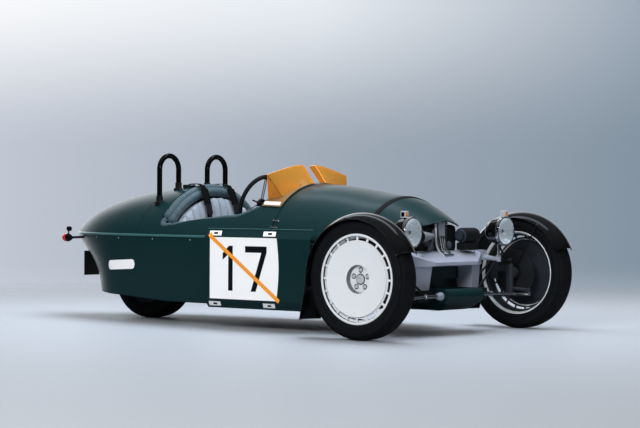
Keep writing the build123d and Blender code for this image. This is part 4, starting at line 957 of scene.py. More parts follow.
def tyre(name, centre, radius, half, bead, bead_half, body, node, turns):
    """Tyre with turns repeats of its tread; half widths and radii at the crown and at the bead."""
    lathe(name, tyre_outline(radius, half, bead, bead_half), centre, LEFT, rubber, body, segments=256,
          uv_turns=turns, slot="tyre_rubber", replaces=node)
    # a raised rib and a fine line round each side
    for side in (-1, 1):
        for r, thick in ((bead + (radius - bead) * 0.3, 1.6), (radius - 20.0, 1.3)):
            t = float(np.interp(
                r, [bead + 10, bead + (radius - bead) * widest_share, radius - 24], [bead_half + 3, half, half - 3]
            ))
            ring(f"{name}_rib_{'pos' if side > 0 else 'neg'}_{round(r)}", centre, LEFT, r, side * (t - 0.4),
                 thick, rubber, body, slot="tyre_rubber")


def ring(name, centre, axis, radius, offset, thick, mat, body, segments=128, **more):
    """Round wire ring about an axis."""
    loop = [(radius + thick * math.cos(a), offset + thick * math.sin(a)) for a in np.linspace(0, 2 * math.pi, 13)[:-1]]
    return lathe(name, loop, centre, axis, mat, body, segments=segments, closed=True, **more)


# front wheel: radius of the rim's lip and half width; its ring of slots: number, radii, half the rib between two
front_lip, front_half = 268.0, 60.0
slot_count, slot_inner, slot_outer, rib_half = 20, 229.5, 252.6, 6.0
nut_count, nut_circle = 5, 54


def front_wheel(word, side):
    """Silver disc wheel: bright rim ring, a ring of slots, and a shallow dish with its hub recess and nuts."""
    body = f"wheel_{word}"
    centre = (axle_x, side * front_track, front_axle_z)
    half = front_half
    out = (0, side, 0)
    rim = [
        (253.0, half - 3), (257.0, half + 1.5), (262.0, half + 2.0), (front_lip, half - 1), (front_lip, half - 10),
        (front_lip - 6, half - 15), (246.0, half - 34), (246.0, 34 - half), (front_lip - 6, 15 - half),
        (front_lip, 10 - half), (front_lip, -half), (262.0, -half), (253.0, 16 - half), (239.0, 36 - half),
        (239.0, half - 36), (252.0, half - 17),
    ]
    barrel = lathe(f"rim_{word}", rounded(rim, 3.0, closed=True), centre, out, silver_paint, body, segments=192,
                   closed=True, slot="silver_paint", replaces=f"front_wheel_{word}")
    # painted shade: the rim's inside faces are coloured dark grey
    darken(barrel, centre, side, 0.2535, -half + 4.0, half - 3.0)
    recess, floor = half - 14.0, half - 44.0
    dish = [(221.0 - 137.0 * t, half + 5.0 - 19.0 * (1 - (1 - t) ** 1.7)) for t in np.linspace(0.0, 1.0, 15)]
    disc = (
        [(253.5, half - 9), (229.0, half - 7), (224.5, half - 6), (223.0, half + 2)] + dish
        + [(84.0, recess - 1.0), (79.0, floor), (34.0, floor), (30.0, floor + 3), (26.0, floor + 3)]
    )
    back = [
        (26.0, floor - 6), (80.0, floor - 6), (92.0, recess - 8), (214.0, half - 3), (218.0, half - 13),
        (253.5, half - 15),
    ]
    outline_pts = rounded(disc + back, 2.5, closed=True)
    obj = lathe(f"disc_{word}", outline_pts, centre, out, silver_paint, body, segments=240, closed=True,
                slot="silver_paint")
    cut_slots(obj, centre, side, half - 11)
    # painted shade: the disc's back faces are coloured dark grey
    darken(obj, centre, side, 0.30, -half, half - 12.5)
    shade_recess(obj, centre, floor)
    # hub: domed cap, its ring and five nuts; the cap and nuts are silver with a painted glow, the ring and the nuts'
    # seats dark grey as painted shade
    cap = [
        (0.0, floor + 20), (10.0, floor + 19.4), (18.0, floor + 17), (23.0, floor + 12), (24.0, floor),
        (24.0, floor - 4),
    ]
    lathe(f"hub_cap_{word}", cap, centre, out, silver_with_painted_glow, body, segments=48, slot="chrome")
    ring(f"hub_ring_{word}", centre, out, 30.0, floor + 2.0, 3.0, wheel_shadow, body, slot="silver_paint")
    for i in range(nut_count):
        a = 2 * math.pi * i / nut_count + math.pi / 10
        spot = Vector(centre) + Vector((math.cos(a), 0, math.sin(a))) * nut_circle * mm + Vector(out) * floor * mm
        cup = [(11.0, 0.2), (16.5, 0.2), (16.5, 1.4), (11.0, 1.8)]
        lathe(f"nut_seat_{word}_{i}", cup, spot, out, wheel_shadow, body, segments=24, closed=True,
              slot="silver_paint")
        nut = rounded([(0.0, 11.0), (6.0, 11.0), (9.5, 9.0), (9.5, 0.0)], 1.0)
        lathe(f"nut_{word}_{i}", nut, spot, out, silver_with_painted_glow, body, segments=6, slot="silver_paint")
    valve = Vector(centre) + Vector((math.cos(1.9), 0, math.sin(1.9))) * 241 * mm + Vector(out) * (half - 22) * mm
    bar(f"valve_{word}", [valve, valve + Vector(out) * 0.03], 3.2, black_plastic, body, slot="black_plastic")


def darken(obj, centre, side, radius, low, high):
    """Gives the faces inside a radius and between two offsets along the axle a dark grey as painted shade."""
    obj.data.materials.append(wheel_shadow)
    for poly in obj.data.polygons:
        x, y, z = poly.center
        offset = (y - centre[1]) * side / mm
        near = math.hypot(x - centre[0], z - centre[2]) < radius and low < offset < high
        if near and poly.normal.y * side < 0.3:
            poly.material_index = 1


def shade_recess(obj, centre, floor):
    """Colours the wall of the hub recess grey as painted shade, since it lies in its own shade."""
    obj.data.materials.append(recess_painted_shade)
    for poly in obj.data.polygons:
        x, y, z = poly.center
        radius, offset = math.hypot(x - centre[0], z - centre[2]) / mm, abs(y - centre[1]) / mm
        if 74.0 < radius < 84.5 and floor + 0.5 < offset:
            poly.material_index = 2


def cut_slots(obj, centre, side, offset):
    """Cuts the ring of slots through a wheel disc."""
    rib_angle = math.asin(rib_half / 229.0)
    loops = []
    for i in range(slot_count):
        a0, a1 = 2 * math.pi * i / slot_count + rib_angle, 2 * math.pi * (i + 1) / slot_count - rib_angle
        loops.append([
            (centre[0] + r * mm * math.cos(a), centre[2] + r * mm * math.sin(a))
            for r, start, end in ((slot_inner, a0, a1), (slot_outer, a1, a0)) for a in np.linspace(start, end, 9)
        ])
    drill(obj, loops, [centre[1] + side * (offset + t) * mm for t in (-16, 16)])


def rear_wheel():
    """Rear rim and its disc with eight round holes."""
    centre = (rear_axle_x, 0, rear_axle_z)
    rim = [
        (205.0, 80), (205.0, 71), (189.0, 65), (189.0, -65), (205.0, -71), (205.0, -80), (198.0, -80), (182.0, -70),
        (182.0, 70), (198.0, 80),
    ]
    # painted shade: the rear rim and disc are dark grey all over, as the rear wheel sits in the body's shade
    lathe("rear_rim", rounded(rim, 3.0, closed=True), centre, LEFT, wheel_shadow, "rear_wheel", segments=128,
          closed=True, slot="silver_paint", replaces="rear_wheel")
    disc = [
        (17.0, 60), (36.0, 60), (42.0, 18), (182.5, 7), (182.5, -7), (42.0, -18), (36.0, -60), (17.0, -60),
    ]
    obj = lathe("rear_disc", rounded(disc, 6, True), centre, LEFT, wheel_shadow, "rear_wheel", segments=96,
                closed=True, slot="silver_paint")
    hole_circle, hole_radius = 0.118, 0.026
    loops = []
    for i in range(8):
        a = math.radians(45 * i)
        x, z = centre[0] + hole_circle * math.cos(a), centre[2] + hole_circle * math.sin(a)
        turns = [2 * math.pi * k / 24 for k in range(24)]
        loops.append([(x + hole_radius * math.cos(b), z + hole_radius * math.sin(b)) for b in turns])
    drill(obj, loops, (-0.04, 0.04))


def wheel_and_tyre(word, side):
    """One front wheel with its tyre."""
    tyre(f"tyre_{word}", (axle_x, side * front_track, front_axle_z), radius=360.0, half=71.0, bead=front_lip,
         bead_half=front_half, body=f"wheel_{word}", node=f"front_tyre_{word}", turns=96)
    front_wheel(word, side)


both_sides(wheel_and_tyre)
tyre("tyre_rear", (rear_axle_x, 0, rear_axle_z), radius=312.0, half=97.0, bead=205.0, bead_half=80.0,
     body="rear_wheel", node="rear_tyre", turns=84)
rear_wheel()


# ---------------------------------------------------------------- mudguards
def mudguard(word, side):
    """Crowned wing over the tyre with wired edges, and a straight skirt behind."""
    body = f"knuckle_{word}"
    inner, half, crown = 386.0, 98.5, 38.0
    round_radius = (half * half + crown * crown) / (2 * crown)
    centre = Vector((axle_x, side * front_track, front_axle_z))
    offsets = np.linspace(-1.0, 1.0, 25)
    grid = []

    def fall(offset):
        """How much lower than its crown the strip is at an offset from its middle."""
        return round_radius - math.sqrt(round_radius ** 2 - offset ** 2)

    def row(base, out):
        """One strip across: base is the place of radius 0, out the direction away from the wheel."""
        return [
            base + out * (inner + 5.0 - fall(half * t)) * mm + Vector((0, half * t * mm, 0)) for t in offsets
        ]

    for angle in np.linspace(25.0, 180.0, 94):
        a = math.radians(angle)
        grid.append(row(centre, Vector((math.cos(a), 0, math.sin(a)))))
    flare = math.radians(13.0)
    for run in np.linspace(12.0, 250.0, 18):
        # the arc eases into the straight skirt over its first part
        ease = min(1.0, run / 90.0)
        lean = flare * (0.5 * ease if run < 90 else 1 - 45.0 / run)
        grid.append(row(centre - Vector((math.tan(lean) * run * mm, 0, run * mm)), Vector((-1, 0, 0))))
    sheet(f"guard_{word}", grid, black_paint, body, 3.0, flip=side > 0, slot="black_paint",
          replaces=f"mudguard_{word}")
    for edge, label in ((0, "low"), (-1, "high")):
        bar(f"guard_edge_{word}_{label}", [r[edge] for r in grid[::3]] + [grid[-1][edge]], 3.2, black_paint, body,
            slot="black_paint")
    for k, label in ((0, "front"), (-1, "rear")):
        bar(f"guard_end_{word}_{label}", grid[k], 3.0, black_paint, body, slot="black_paint")
    # two stays from the upright to the guard's inner edge, as the CAD has them
    wheel_y, upright_y = 826.5, 730.0
    rim_y, hub_y = side * (wheel_y - half + 9), side * upright_y
    for label, angle, lean in (("front", 60.0, 1), ("rear", 122.0, -1)):
        a = math.radians(angle)
        r = inner - fall(half - 9) + 2.5
        tip = Vector((axle_x + r * mm * math.cos(a), rim_y * mm, front_axle_z + r * mm * math.sin(a)))
        foot = Vector((axle_x, hub_y * mm, 0.386))
        knee = Vector((axle_x + lean * 0.045, hub_y * mm, 0.43))
        low = tip + Vector((-0.02 * math.cos(a), 0, -0.02 * math.sin(a)))
        bar(f"guard_stay_{word}_{label}", [foot, knee, low, tip], 5.0, satin_black, body, rounds=25,
            slot="black_paint")
        bolt(f"guard_stay_bolt_{word}_{label}", tip + Vector((0, side * 0.002, 0)), (0, -side, 0), 7, 5, machined,
             body, slot="forged_steel")


both_sides(mudguard)


# ---------------------------------------------------------------- side plates
plate_y, plate_front, plate_rear = 640.0, 560.0, 1442.0
# its folds: how far they lean in, and the heights at which the upper and the lower one start and end
fold_in, fold_top, fold_low, corner = 40.0, (578.0, 636.0), (190.0, 134.0), 8.0


def side_plate(word, side):
    """Flat painted panel with rounded folds along its top and bottom, on standoffs."""
    edge_y, high, low = plate_y - fold_in, fold_top[1], fold_low[1]
    bends = [(edge_y, low), (plate_y, fold_low[0]), (plate_y, fold_top[0]), (edge_y, high)]
    section_line = rounded(bends, 16.0, steps=6)
    corner_steps = np.array((0.0, 0.6, 2.0, 4.5, corner))
    ds = list(plate_front + corner_steps) + list(np.linspace(plate_front + 30, plate_rear - 30, 24))
    ds += list(plate_rear - corner_steps[::-1])
    grid = []
    for d in ds:
        inset = 0.0
        near = min(d - plate_front, plate_rear - d)
        if near < corner:
            inset = corner - math.sqrt(max(0.0, corner ** 2 - (corner - near) ** 2))
        grid.append([at(d, side * y, min(max(z, low + inset), high - inset)) for y, z in section_line])
    sheet(f"side_plate_{word}", grid, green_paint, "chassis", 4.0, flip=side > 0, slot="green_paint",
          replaces=once(side, "side_plates"))
    for d in (plate_front + 40, plate_rear - 60):
        for z in (215.0, 543.0):
            bar(f"standoff_{word}_{round(d)}_{round(z)}", [at(d, side * 500, z), at(d, side * (plate_y - 4), z)], 11,
                satin_black, "chassis", slot="black_paint")


both_sides(side_plate)


# ---------------------------------------------------------------- windscreens
# columns of a visor from its inner end outwards: foot (distance, y), top (distance, y, z)
SCREEN_COLUMNS = (
    ((1010.0, 60.0), (1106.0, 60.0, 1047.0)), ((1018.0, 110.0), (1112.0, 140.0, 1041.0)),
    ((1032.0, 180.0), (1116.0, 245.0, 1019.0)), ((1045.0, 250.0), (1118.0, 325.0, 1000.0)),
    ((1056.0, 320.0), (1119.0, 399.0, 981.0)),
)
screen_flange_d, screen_flange_y = (1004.0, 1162.0), (21.0, 397.0)
# rear foot of the inner and the outer wing: distance, y
WING_FEET = ((1056.0, 58.0), (1158.0, 341.0))


def windscreen(word, side):
    """Amber visor with its two wings, edges with a painted glow, the outer wing's fold in painted shade, and the
    bronze-tinted flange on the scuttle.
    """
    feet = [on_deck(d, side * y, 4.5) for (d, y), _ in SCREEN_COLUMNS]
    heads = [at(d, side * y, z) for _, (d, y, z) in SCREEN_COLUMNS]
    grid = []
    for t in np.linspace(0.0, 1.0, 9):
        row = []
        for s in np.linspace(0.0, len(feet) - 1.0001, 25):
            k, f = int(s), s - int(s)
            low, high = feet[k].lerp(feet[k + 1], f), heads[k].lerp(heads[k + 1], f)
            row.append(low.lerp(high, t))
        grid.append(row)
    sheet(f"screen_{word}", grid, amber_screen, "chassis", 3.5, flip=side > 0, slot="amber_screen",
          replaces=once(side, "windscreens"))
    bar(f"screen_top_{word}", grid[-1], 2.2, amber_edge_painted_glow, "chassis", slot="amber_screen")
    # the inner wing is a strip of even width, the outer one a triangle with a wide foot
    inner_head = at(1160.0, side * 60.0, 1044.0)
    for label, column, foot, end in (
        ("inner", 0, WING_FEET[0], inner_head), ("outer", -1, WING_FEET[1], heads[-1]),
    ):
        low, high, rear = feet[column], heads[column], on_deck(foot[0], side * foot[1], 4.5)
        wing = [[low.lerp(high, t), rear.lerp(end, t)] for t in np.linspace(0.0, 0.97, 8)]
        sheet(f"screen_wing_{label}_{word}", wing, amber_screen, "chassis", 3.0, flip=(side > 0) == (column < 0),
              slot="amber_screen")
        # the inner wing's fold carries the edge's painted glow, the outer wing's fold a dark painted shade
        fold_painted_light = amber_edge_painted_glow if label == "inner" else fold_painted_shade
        bar(f"screen_edge_{label}_{word}", [low, high], 2.2, fold_painted_light, "chassis", slot="amber_screen")
        free_edge = [high, rear] if label == "outer" else [high, end, rear]
        bar(f"screen_wing_edge_{label}_{word}", free_edge, 1.8, amber_edge_painted_glow, "chassis", slot="amber_screen")
    flange = []
    for d in np.linspace(screen_flange_d[0], screen_flange_d[1], 14):
        flange.append([on_deck(d, side * y, 4.8) for y in np.linspace(screen_flange_y[0], screen_flange_y[1], 33)])
    sheet(f"screen_flange_{word}", flange, bronze_paint, "chassis", 4.2, flip=side > 0, slot="amber_screen")
    for y in (60.0, 150.0, 240.0, 330.0):
        place = on_deck(1022.0, side * y, 5.0)
        bolt(f"flange_screw_{word}_{round(y)}", place, place - on_deck(1022.0, side * y, 0.0), 5, 2.5, machined,
             "chassis", slot="forged_steel")


both_sides(windscreen)


# ---------------------------------------------------------------- roll hoops
hoop_d, hoop_y, hoop_half, hoop_top = 2143.0, 234.5, 92.0, 1132.0


def roll_hoop(word, side):
    """Gloss black bent tube on two bolted feet."""
    tube = 18.5
    top = hoop_top - tube
    points = [at(hoop_d, side * hoop_y - hoop_half, 800.0)]
    for a in np.linspace(math.pi, 0.0, 25):
        points.append(at(hoop_d, side * hoop_y + hoop_half * math.cos(a), top - hoop_half + hoop_half * math.sin(a)))
    points.append(at(hoop_d, side * hoop_y + hoop_half, 800.0))
    bar(f"hoop_{word}", points, tube, black_paint, "chassis", slot="black_paint",
        replaces=once(side, "roll_hoops"))
    for label, leg in (("right", -1), ("left", 1)):
        y = side * hoop_y + leg * hoop_half
        deck_z = on_deck(hoop_d, y).z / mm
        foot = [(18.6, 44.0), (21.0, 44.0), (22.0, 40.0), (22.5, 10.0), (33.0, 3.0), (33.0, -18.0)]
        lathe(f"hoop_foot_{word}_{label}", rounded(foot, 2.0), at(hoop_d, y, deck_z), UP, satin_black,
              "chassis", segments=48, slot="black_paint")


both_sides(roll_hoop)


# ---------------------------------------------------------------- seats
def inflate(obj, pressure, cap_mm, frames=20, pinned=None):
    """Swells a closed mesh with cloth under pressure, then keeps the result with each move capped."""
    before = np.array([v.co for v in obj.data.vertices])
    cloth = obj.modifiers.new("cloth", "CLOTH")
    settings = cloth.settings
    settings.quality = 4
    settings.mass = 0.3
    settings.tension_stiffness = settings.compression_stiffness = 14.0
    settings.bending_stiffness = 0.6
    settings.use_pressure = True
    settings.uniform_pressure_force = pressure
    settings.effector_weights.gravity = 0.0
    if pinned is not None:
        group = obj.vertex_groups.new(name="held")
        group.add([int(k) for k in pinned], 1.0, "REPLACE")
        settings.vertex_group_mass = "held"
    cloth.collision_settings.use_self_collision = False
    for frame_number in range(1, frames + 1):
        bpy.context.scene.frame_set(frame_number)
    graph = bpy.context.evaluated_depsgraph_get()
    swollen = obj.evaluated_get(graph).to_mesh()
    after = np.array([v.co for v in swollen.vertices])
    obj.evaluated_get(graph).to_mesh_clear()
    obj.modifiers.remove(cloth)
    bpy.context.scene.frame_set(1)
    move = after - before
    size = np.linalg.norm(move, axis=1, keepdims=True)
    cap = cap_mm * mm
    move *= np.where(size > cap, cap / np.maximum(size, 1e-9), 1.0)
    obj.data.vertices.foreach_set("co", (before + move).ravel())
    obj.data.update()


def padded_block(name, corners, faces, mat, voxel_mm, body, slot, replaces, cap_mm, shape):
    """Closed form turned into a soft pad: remeshed, swollen with cloth, subdivided, then shaped by a function."""
    obj = piece(name, corners, faces, mat, body, slot=slot, replaces=replaces)
    mend(obj)
    remesh = obj.modifiers.new("remesh", "REMESH")
    remesh.mode = "VOXEL"
    remesh.voxel_size = voxel_mm * mm
    bake(obj)
    smooth = obj.modifiers.new("soft corners", "SMOOTH")
    smooth.iterations = 5
    bake(obj)
    inflate(obj, 4.0, cap_mm)
    rise = obj.modifiers.new("finer", "SUBSURF")
    rise.levels = rise.render_levels = 1
    bake(obj)
    mesh = obj.data
    count = len(mesh.vertices)
    places = np.empty(count * 3)
    mesh.vertices.foreach_get("co", places)
    normals = np.empty(count * 3)
    mesh.vertices.foreach_get("normal", normals)
    places, normals = places.reshape(-1, 3), normals.reshape(-1, 3)
    mesh.vertices.foreach_set("co", shape(places, normals).ravel())
    mesh.polygons.foreach_set("use_smooth", [True] * len(mesh.polygons))
    mesh.update()


def channel(offset, pitch, width):
    """1 in the middle of a sewn line that recurs every pitch, falling to 0 over its width."""
    near = np.abs((offset / pitch + 0.5) % 1.0 - 0.5) * pitch
    return np.exp(-(near / width) ** 2)


seat_lean = math.radians(12.0)
seat_foot = at(1790.0, 0.0, 288.7)


def seat_back():
    """Arched back across both seats, with upright sewn channels on its face and a plain rolled top."""
    low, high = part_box("seat_back")
    radius, deck_centre, half, thickness = 525.6, 338.4, 425.0, 82.0
    low_z = 291.0
    profile = [(-half + 6, low_z + 6), (half - 6, low_z + 6)]
    arch_start = math.acos((half - 6) / (radius - 6))
    for a in np.linspace(arch_start, math.pi - arch_start, 25):
        profile.append(((radius - 6) * math.cos(a), deck_centre + (radius - 6) * math.sin(a)))
    verts = []
    for depth in (4.0, thickness + 4.0):
        for y, z in profile:
            up = (z - seat_foot_z * 1000.0) * mm
            x = seat_foot.x - depth * mm * math.cos(seat_lean) - up * math.sin(seat_lean)
            rise = seat_foot_z + up * math.cos(seat_lean) - depth * mm * math.sin(seat_lean)
            verts.append((x, y * mm, rise))
    n = len(profile)
    faces = [tuple(range(n)), tuple(range(2 * n - 1, n - 1, -1))]
    faces += [(k, n + k, n + (k + 1) % n, (k + 1) % n) for k in range(n)]
    face_out = Vector((math.cos(seat_lean), 0, math.sin(seat_lean)))

    def shape(places, normals):
        facing = np.clip(normals @ np.array(face_out), 0, 1)
        height = places[:, 2] - seat_foot_z
        # the channels fan out a little towards the top
        spread = places[:, 1] / (1.0 + back_fan * height / back_height)
        sewn = channel(spread, back_pitch, 0.0042) * (facing > 0.35)
        middle_line = np.exp(-(places[:, 1] / 0.007) ** 2) * facing
        puff = 0.0035 * (1 - channel(spread, back_pitch, 0.016)) * facing
        out = places + normals * (puff - 0.0075 * sewn - 0.014 * middle_line)[:, None]
        return np.clip(out, np.array(low) - 0.008, np.array(high) + 0.008)

    padded_block("seat_back_pad", verts, faces, pleated_leather, 10.0, "chassis", "grey_leather", "seat_back",
                 12.0, shape)


def seat_cushion(word, side):
    """Seat pad with a rolled front edge and lengthwise channels."""
    low, high = at(1788.0, side * 34.0, 274.0), at(1334.0, side * 436.0, 366.0)
    y0, y1 = sorted((low.y, high.y))
    middle_y = (y0 + y1) / 2
    corners = [(low.x, low.z), (high.x, low.z), (high.x, high.z), (low.x, high.z)]
    profile = rounded(corners, 0.03, closed=True)
    n = len(profile)
    verts = [(x, y, z) for y in (y0, y1) for x, z in profile]
    faces = [tuple(range(n)), tuple(range(2 * n - 1, n - 1, -1))]
    faces += [(k, (k + 1) % n, n + (k + 1) % n, n + k) for k in range(n)]

    def shape(places, normals):
        facing = np.clip(normals[:, 2], 0, 1)
        sewn = channel(places[:, 1] - middle_y, cushion_pitch, 0.0042) * (np.abs(places[:, 1] - middle_y) < 0.15)
        crown = 0.006 * np.cos((places[:, 1] - middle_y) / (y1 - y0) * math.pi) * facing
        out = places + normals * (-0.007 * sewn * (facing > 0.3))[:, None]
        out[:, 2] += crown
        return out

    padded_block(f"seat_cushion_{word}", verts, faces, cushion_leather, 9.0, "chassis", "grey_leather",
                 once(side, "seat_cushions"), 9.0, shape)


def soft_roll(name, points, radius, pitch, node, mat):
    """Padded roll with a shallow stitch round it every pitch."""
    around = 24
    line = [Vector(p) for p in points]
    lengths = [0.0]
    for a, b in zip(line, line[1:]):
        lengths.append(lengths[-1] + (b - a).length)
    total = lengths[-1]
    count = max(24, round(total / 0.007))
    fine = []
    for s in np.linspace(0.0, total, count):
        k = min(int(np.searchsorted(lengths, s, side="right")) - 1, len(line) - 2)
        fine.append(line[k].lerp(line[k + 1], (s - lengths[k]) / (lengths[k + 1] - lengths[k])))
    for _ in range(6):
        fine = [fine[0]] + [(a + 2 * b + c) / 4 for a, b, c in zip(fine, fine[1:], fine[2:])] + [fine[-1]]
    grid = []
    for k, (p, (side_way, other)) in enumerate(zip(fine, follow(fine, False))):
        s = total * k / (count - 1)
        near = min(s, total - s)
        end = math.sqrt(max(0.02, 1 - max(0.0, 1 - near / (radius * mm * 0.9)) ** 2))
        sewn = 0.09 * float(channel(np.array(s), pitch, 0.0035))
        loop = []
        for a in np.linspace(0, 2 * math.pi, around + 1)[:-1]:
            loop.append(p + (side_way * math.cos(a) + other * math.sin(a)) * radius * mm * end * (1 - sewn))
        grid.append(loop)
    obj = sheet(name, grid, mat, "chassis", close_columns=True, slot="grey_leather", replaces=node)
    close_ends(obj, around, count)
    mend(obj)


def coaming():
    """Padded roll behind the seats, and the bolster between it and the seat back."""
    radius, centre_z, roll = 562.6, 338.4, 28.0
    d = 2001.0 - roll - 1.0
    reach = math.acos((690.0 - centre_z) / radius)
    arch = [
        at(d, (radius - 3) * math.sin(a), centre_z + (radius - 3) * math.cos(a)) for a in np.linspace(-reach, reach, 61)
    ]
    soft_roll("coaming_roll", arch, roll - 1.0, 0.075, "coaming", teal_leather)
    # a sewn bolster closes the gap between the seat back's arch and the roll
    bolster = [
        at(1946.0, 534.0 * math.sin(a), centre_z + 534.0 * math.cos(a)) for a in np.linspace(-0.93, 0.93, 61)
    ]
    soft_roll("seat_top_bolster", bolster, 31.0, 0.062, (), teal_leather)


def mouth_roll(word, side):
    """Padded roll along one side of the mouth, and the corner where it turns up into the arch."""
    side_roll = 17.0
    points = [at(d, side * (y - side_roll + 4.0), on_deck(d, y).z / mm - 4.0) for d, y in MOUTH[1:-2]]
    turn = [at(1972.0, side * 436.0, 694.0), at(1982.0, side * 455.0, 668.0), at(1974.0, side * 468.0, 652.0)]
    turn += [at(d, side * (y - 16.0), on_deck(d, y).z / mm - 4.0) for d, y in ((1945.0, 484.0), (1890.0, 487.0))]
    soft_roll(f"mouth_corner_{word}", turn, 19.0, 0.05, (), teal_leather)
    soft_roll(f"mouth_edge_{word}", points, side_roll - 0.5, 0.075, once(side, "mouth_edges"), teal_leather)


def shoulder_belt(word, side):
    """Shoulder belt: webbing from its reel over the roll and down the seat back, with its pad and buckle."""
    y = side * 118.0
    box(f"belt_reel_{word}", at(2098, y - 32, 870), at(2042, y + 32, 920), black_plastic, "chassis", 6.0,
        slot="black_plastic", replaces=once(side, "seat_belts"))
    box(f"belt_guide_{word}", at(2046, y - 30, 912), at(2034, y + 30, 924), chrome, "chassis", 2.0, slot="chrome")
    run = [
        (2050.0, 924.0), (2000.0, 927.0), (1975.0, 925.0), (1932.0, 914.0), (1904.0, 877.0), (1873.0, 782.0),
        (1838.0, 645.0), (1805.0, 488.0), (1782.0, 406.0), (1745.0, 393.0),
    ]
    drift = np.linspace(0.0, side * 34.0, len(run))
    points = [at(d, y + shift, z) for (d, z), shift in zip(run, drift)]
    cover = [points[3].lerp(points[4], 0.6), points[4].lerp(points[5], 0.3), points[5]]
    clasp = points[5].lerp(points[6], 0.2)
    way = (points[5] - points[6]).normalized()
    out = Vector((way.z, 0, -way.x))
    tongue = [clasp + out * 0.006 + way * t for t in (-0.035, 0.035)]
    blade = [clasp + out * 0.008 - way * t for t in (0.035, 0.075)]
    for name, line, width, thickness, mat, slot in (
        ("belt", points, 47.0, 2.2, webbing, "black_plastic"),
        ("belt_cover", cover, 66.0, 6.0, webbing, "black_plastic"),
        ("belt_tongue", tongue, 54.0, 5.0, black_plastic, None), ("belt_blade", blade, 26.0, 2.5, chrome, None),
    ):
        strap(f"{name}_{word}", line, LEFT, width, thickness, mat, "chassis", slot=slot)


seat_back()
both_sides(seat_cushion)
coaming()
both_sides(mouth_roll)
both_sides(shoulder_belt)


# ---------------------------------------------------------------- steering wheel and dials
def steering_wheel():
    """Leather rim, three split alloy spokes, the boss and its shaft, and the column's shroud and stalks."""
    hub = at(1322.0, -240.0, 800.0)
    foot = at(1000.0, -240.0, 690.0)
    axis = (hub - foot).normalized()
    across = Vector(LEFT)
    up = axis.cross(across).normalized()
    up = up if up.z > 0 else -up
    body = "steering_wheel"
    grid = []
    rim, thick = 0.179, 0.0142
    for a in np.linspace(0, 2 * math.pi, 145)[:-1]:
        out = across * math.cos(a) + up * math.sin(a)
        loop = []
        for b in np.linspace(0, 2 * math.pi, 25)[:-1]:
            # finger grips on the side away from the driver
            grip = 1.0 - 0.05 * (0.5 + 0.5 * math.cos(40 * a)) * max(0.0, -math.sin(b))
            loop.append(hub + out * (rim + thick * grip * math.cos(b)) + axis * thick * grip * math.sin(b))
        grid.append(loop)
    sheet("wheel_rim", grid, wheel_leather, body, close_rows=True, close_columns=True, slot="wheel_leather",
          replaces="steering_wheel")
    for k, turn in enumerate((90, 210, 330)):
        a = math.radians(turn)
        out = across * math.cos(a) + up * math.sin(a)
        wide = axis.cross(out).normalized()
        points = [hub + out * r - axis * (0.012 * (1 - r / rim)) for r in np.linspace(0.026, rim - 0.006, 12)]
        for shift in (-1, 1):
            strap(f"wheel_spoke_{k}_{'low' if shift < 0 else 'high'}",
                  [p + wide * shift * (0.0085 - 0.02 * i * mm) for i, p in enumerate(points)],
                  tuple(wide), 6.5, 4.0, bright_trim, body)
        ends = [points[-2], points[-1]]
        strap(f"wheel_spoke_end_{k}", ends, tuple(wide), 30.0, 5.0, bright_trim, body)
    boss = rounded([(0.0, 2.0), (28.0, 2.0), (33.0, -4.0), (33.0, -24.0), (22.0, -25.0)], 4.0)
    lathe("wheel_boss", boss, hub, axis, black_plastic, body, segments=48, slot="wheel_leather")
    ring("wheel_boss_ring", hub, axis, 25.0, 1.5, 1.6, bright_trim, body, segments=64, slot="chrome")
    bar("wheel_shaft", [hub - axis * 0.2, hub - axis * 0.02], 10.0, machined, body, slot="forged_steel")
    stalk = 0.09
    for k, turn in enumerate((15, 165)):
        a = math.radians(turn)
        out = across * math.cos(a) + up * math.sin(a)
        root = hub - axis * 0.062
        bar(f"column_stalk_{k}", [root, root + out * 0.05, root + out * (0.05 + stalk) + axis * 0.012], 5.0,
            black_plastic, "chassis", rounds=15, slot="black_plastic")
    housing = rounded([(20.2, -44.0), (34.0, -46.0), (38.0, -62.0), (34.0, -92.0), (20.2, -98.0)], 6.0)
    lathe("column_shroud", housing, hub, axis, black_plastic, "chassis", segments=40, slot="black_plastic")


def dial(word, side):
    """Round gauge in the middle of the dash, with its bezel, face, marks and needle."""
    centre = at(1136.0, side * 58.0, 800.0)
    back = (-1, 0, 0)
    bezel = rounded([(40.0, 6.0), (42.0, 13.0), (46.5, 13.5), (47.8, 6.0), (47.8, -4.0)], 1.5)
    lathe(f"gauge_{word}_bezel", bezel, centre, back, chrome, "chassis", segments=64, slot="chrome")
    lathe(f"gauge_{word}_face", [(0.0, 7.0), (41.0, 7.0)], centre, back, gauge_face, "chassis", segments=48,
          slot="black_plastic")
    on_face = centre + Vector((-0.0076, 0, 0))
    for k in range(11):
        a = math.radians(225 - 27 * k)
        way = Vector((0, -math.cos(a), math.sin(a)))
        strap(f"gauge_{word}_mark_{k}", [on_face + way * r * mm for r in (31.0, 37.0)],
              tuple(way.cross(Vector(AHEAD))), 1.6, 0.6, white_vinyl, "chassis")
    a = math.radians(205 if side < 0 else 120)
    way = Vector((0, -math.cos(a), math.sin(a)))
    spot = centre + Vector((-0.0085, 0, 0))
    bar(f"gauge_{word}_needle", [spot - way * 0.008, spot + way * 0.03], 0.9, orange_vinyl, "chassis",
        slot="red_lens")


steering_wheel()
both_sides(dial)


# ---------------------------------------------------------------- lamps
lamp_d, lamp_y, lamp_z = -117.0, 486.0, 631.5


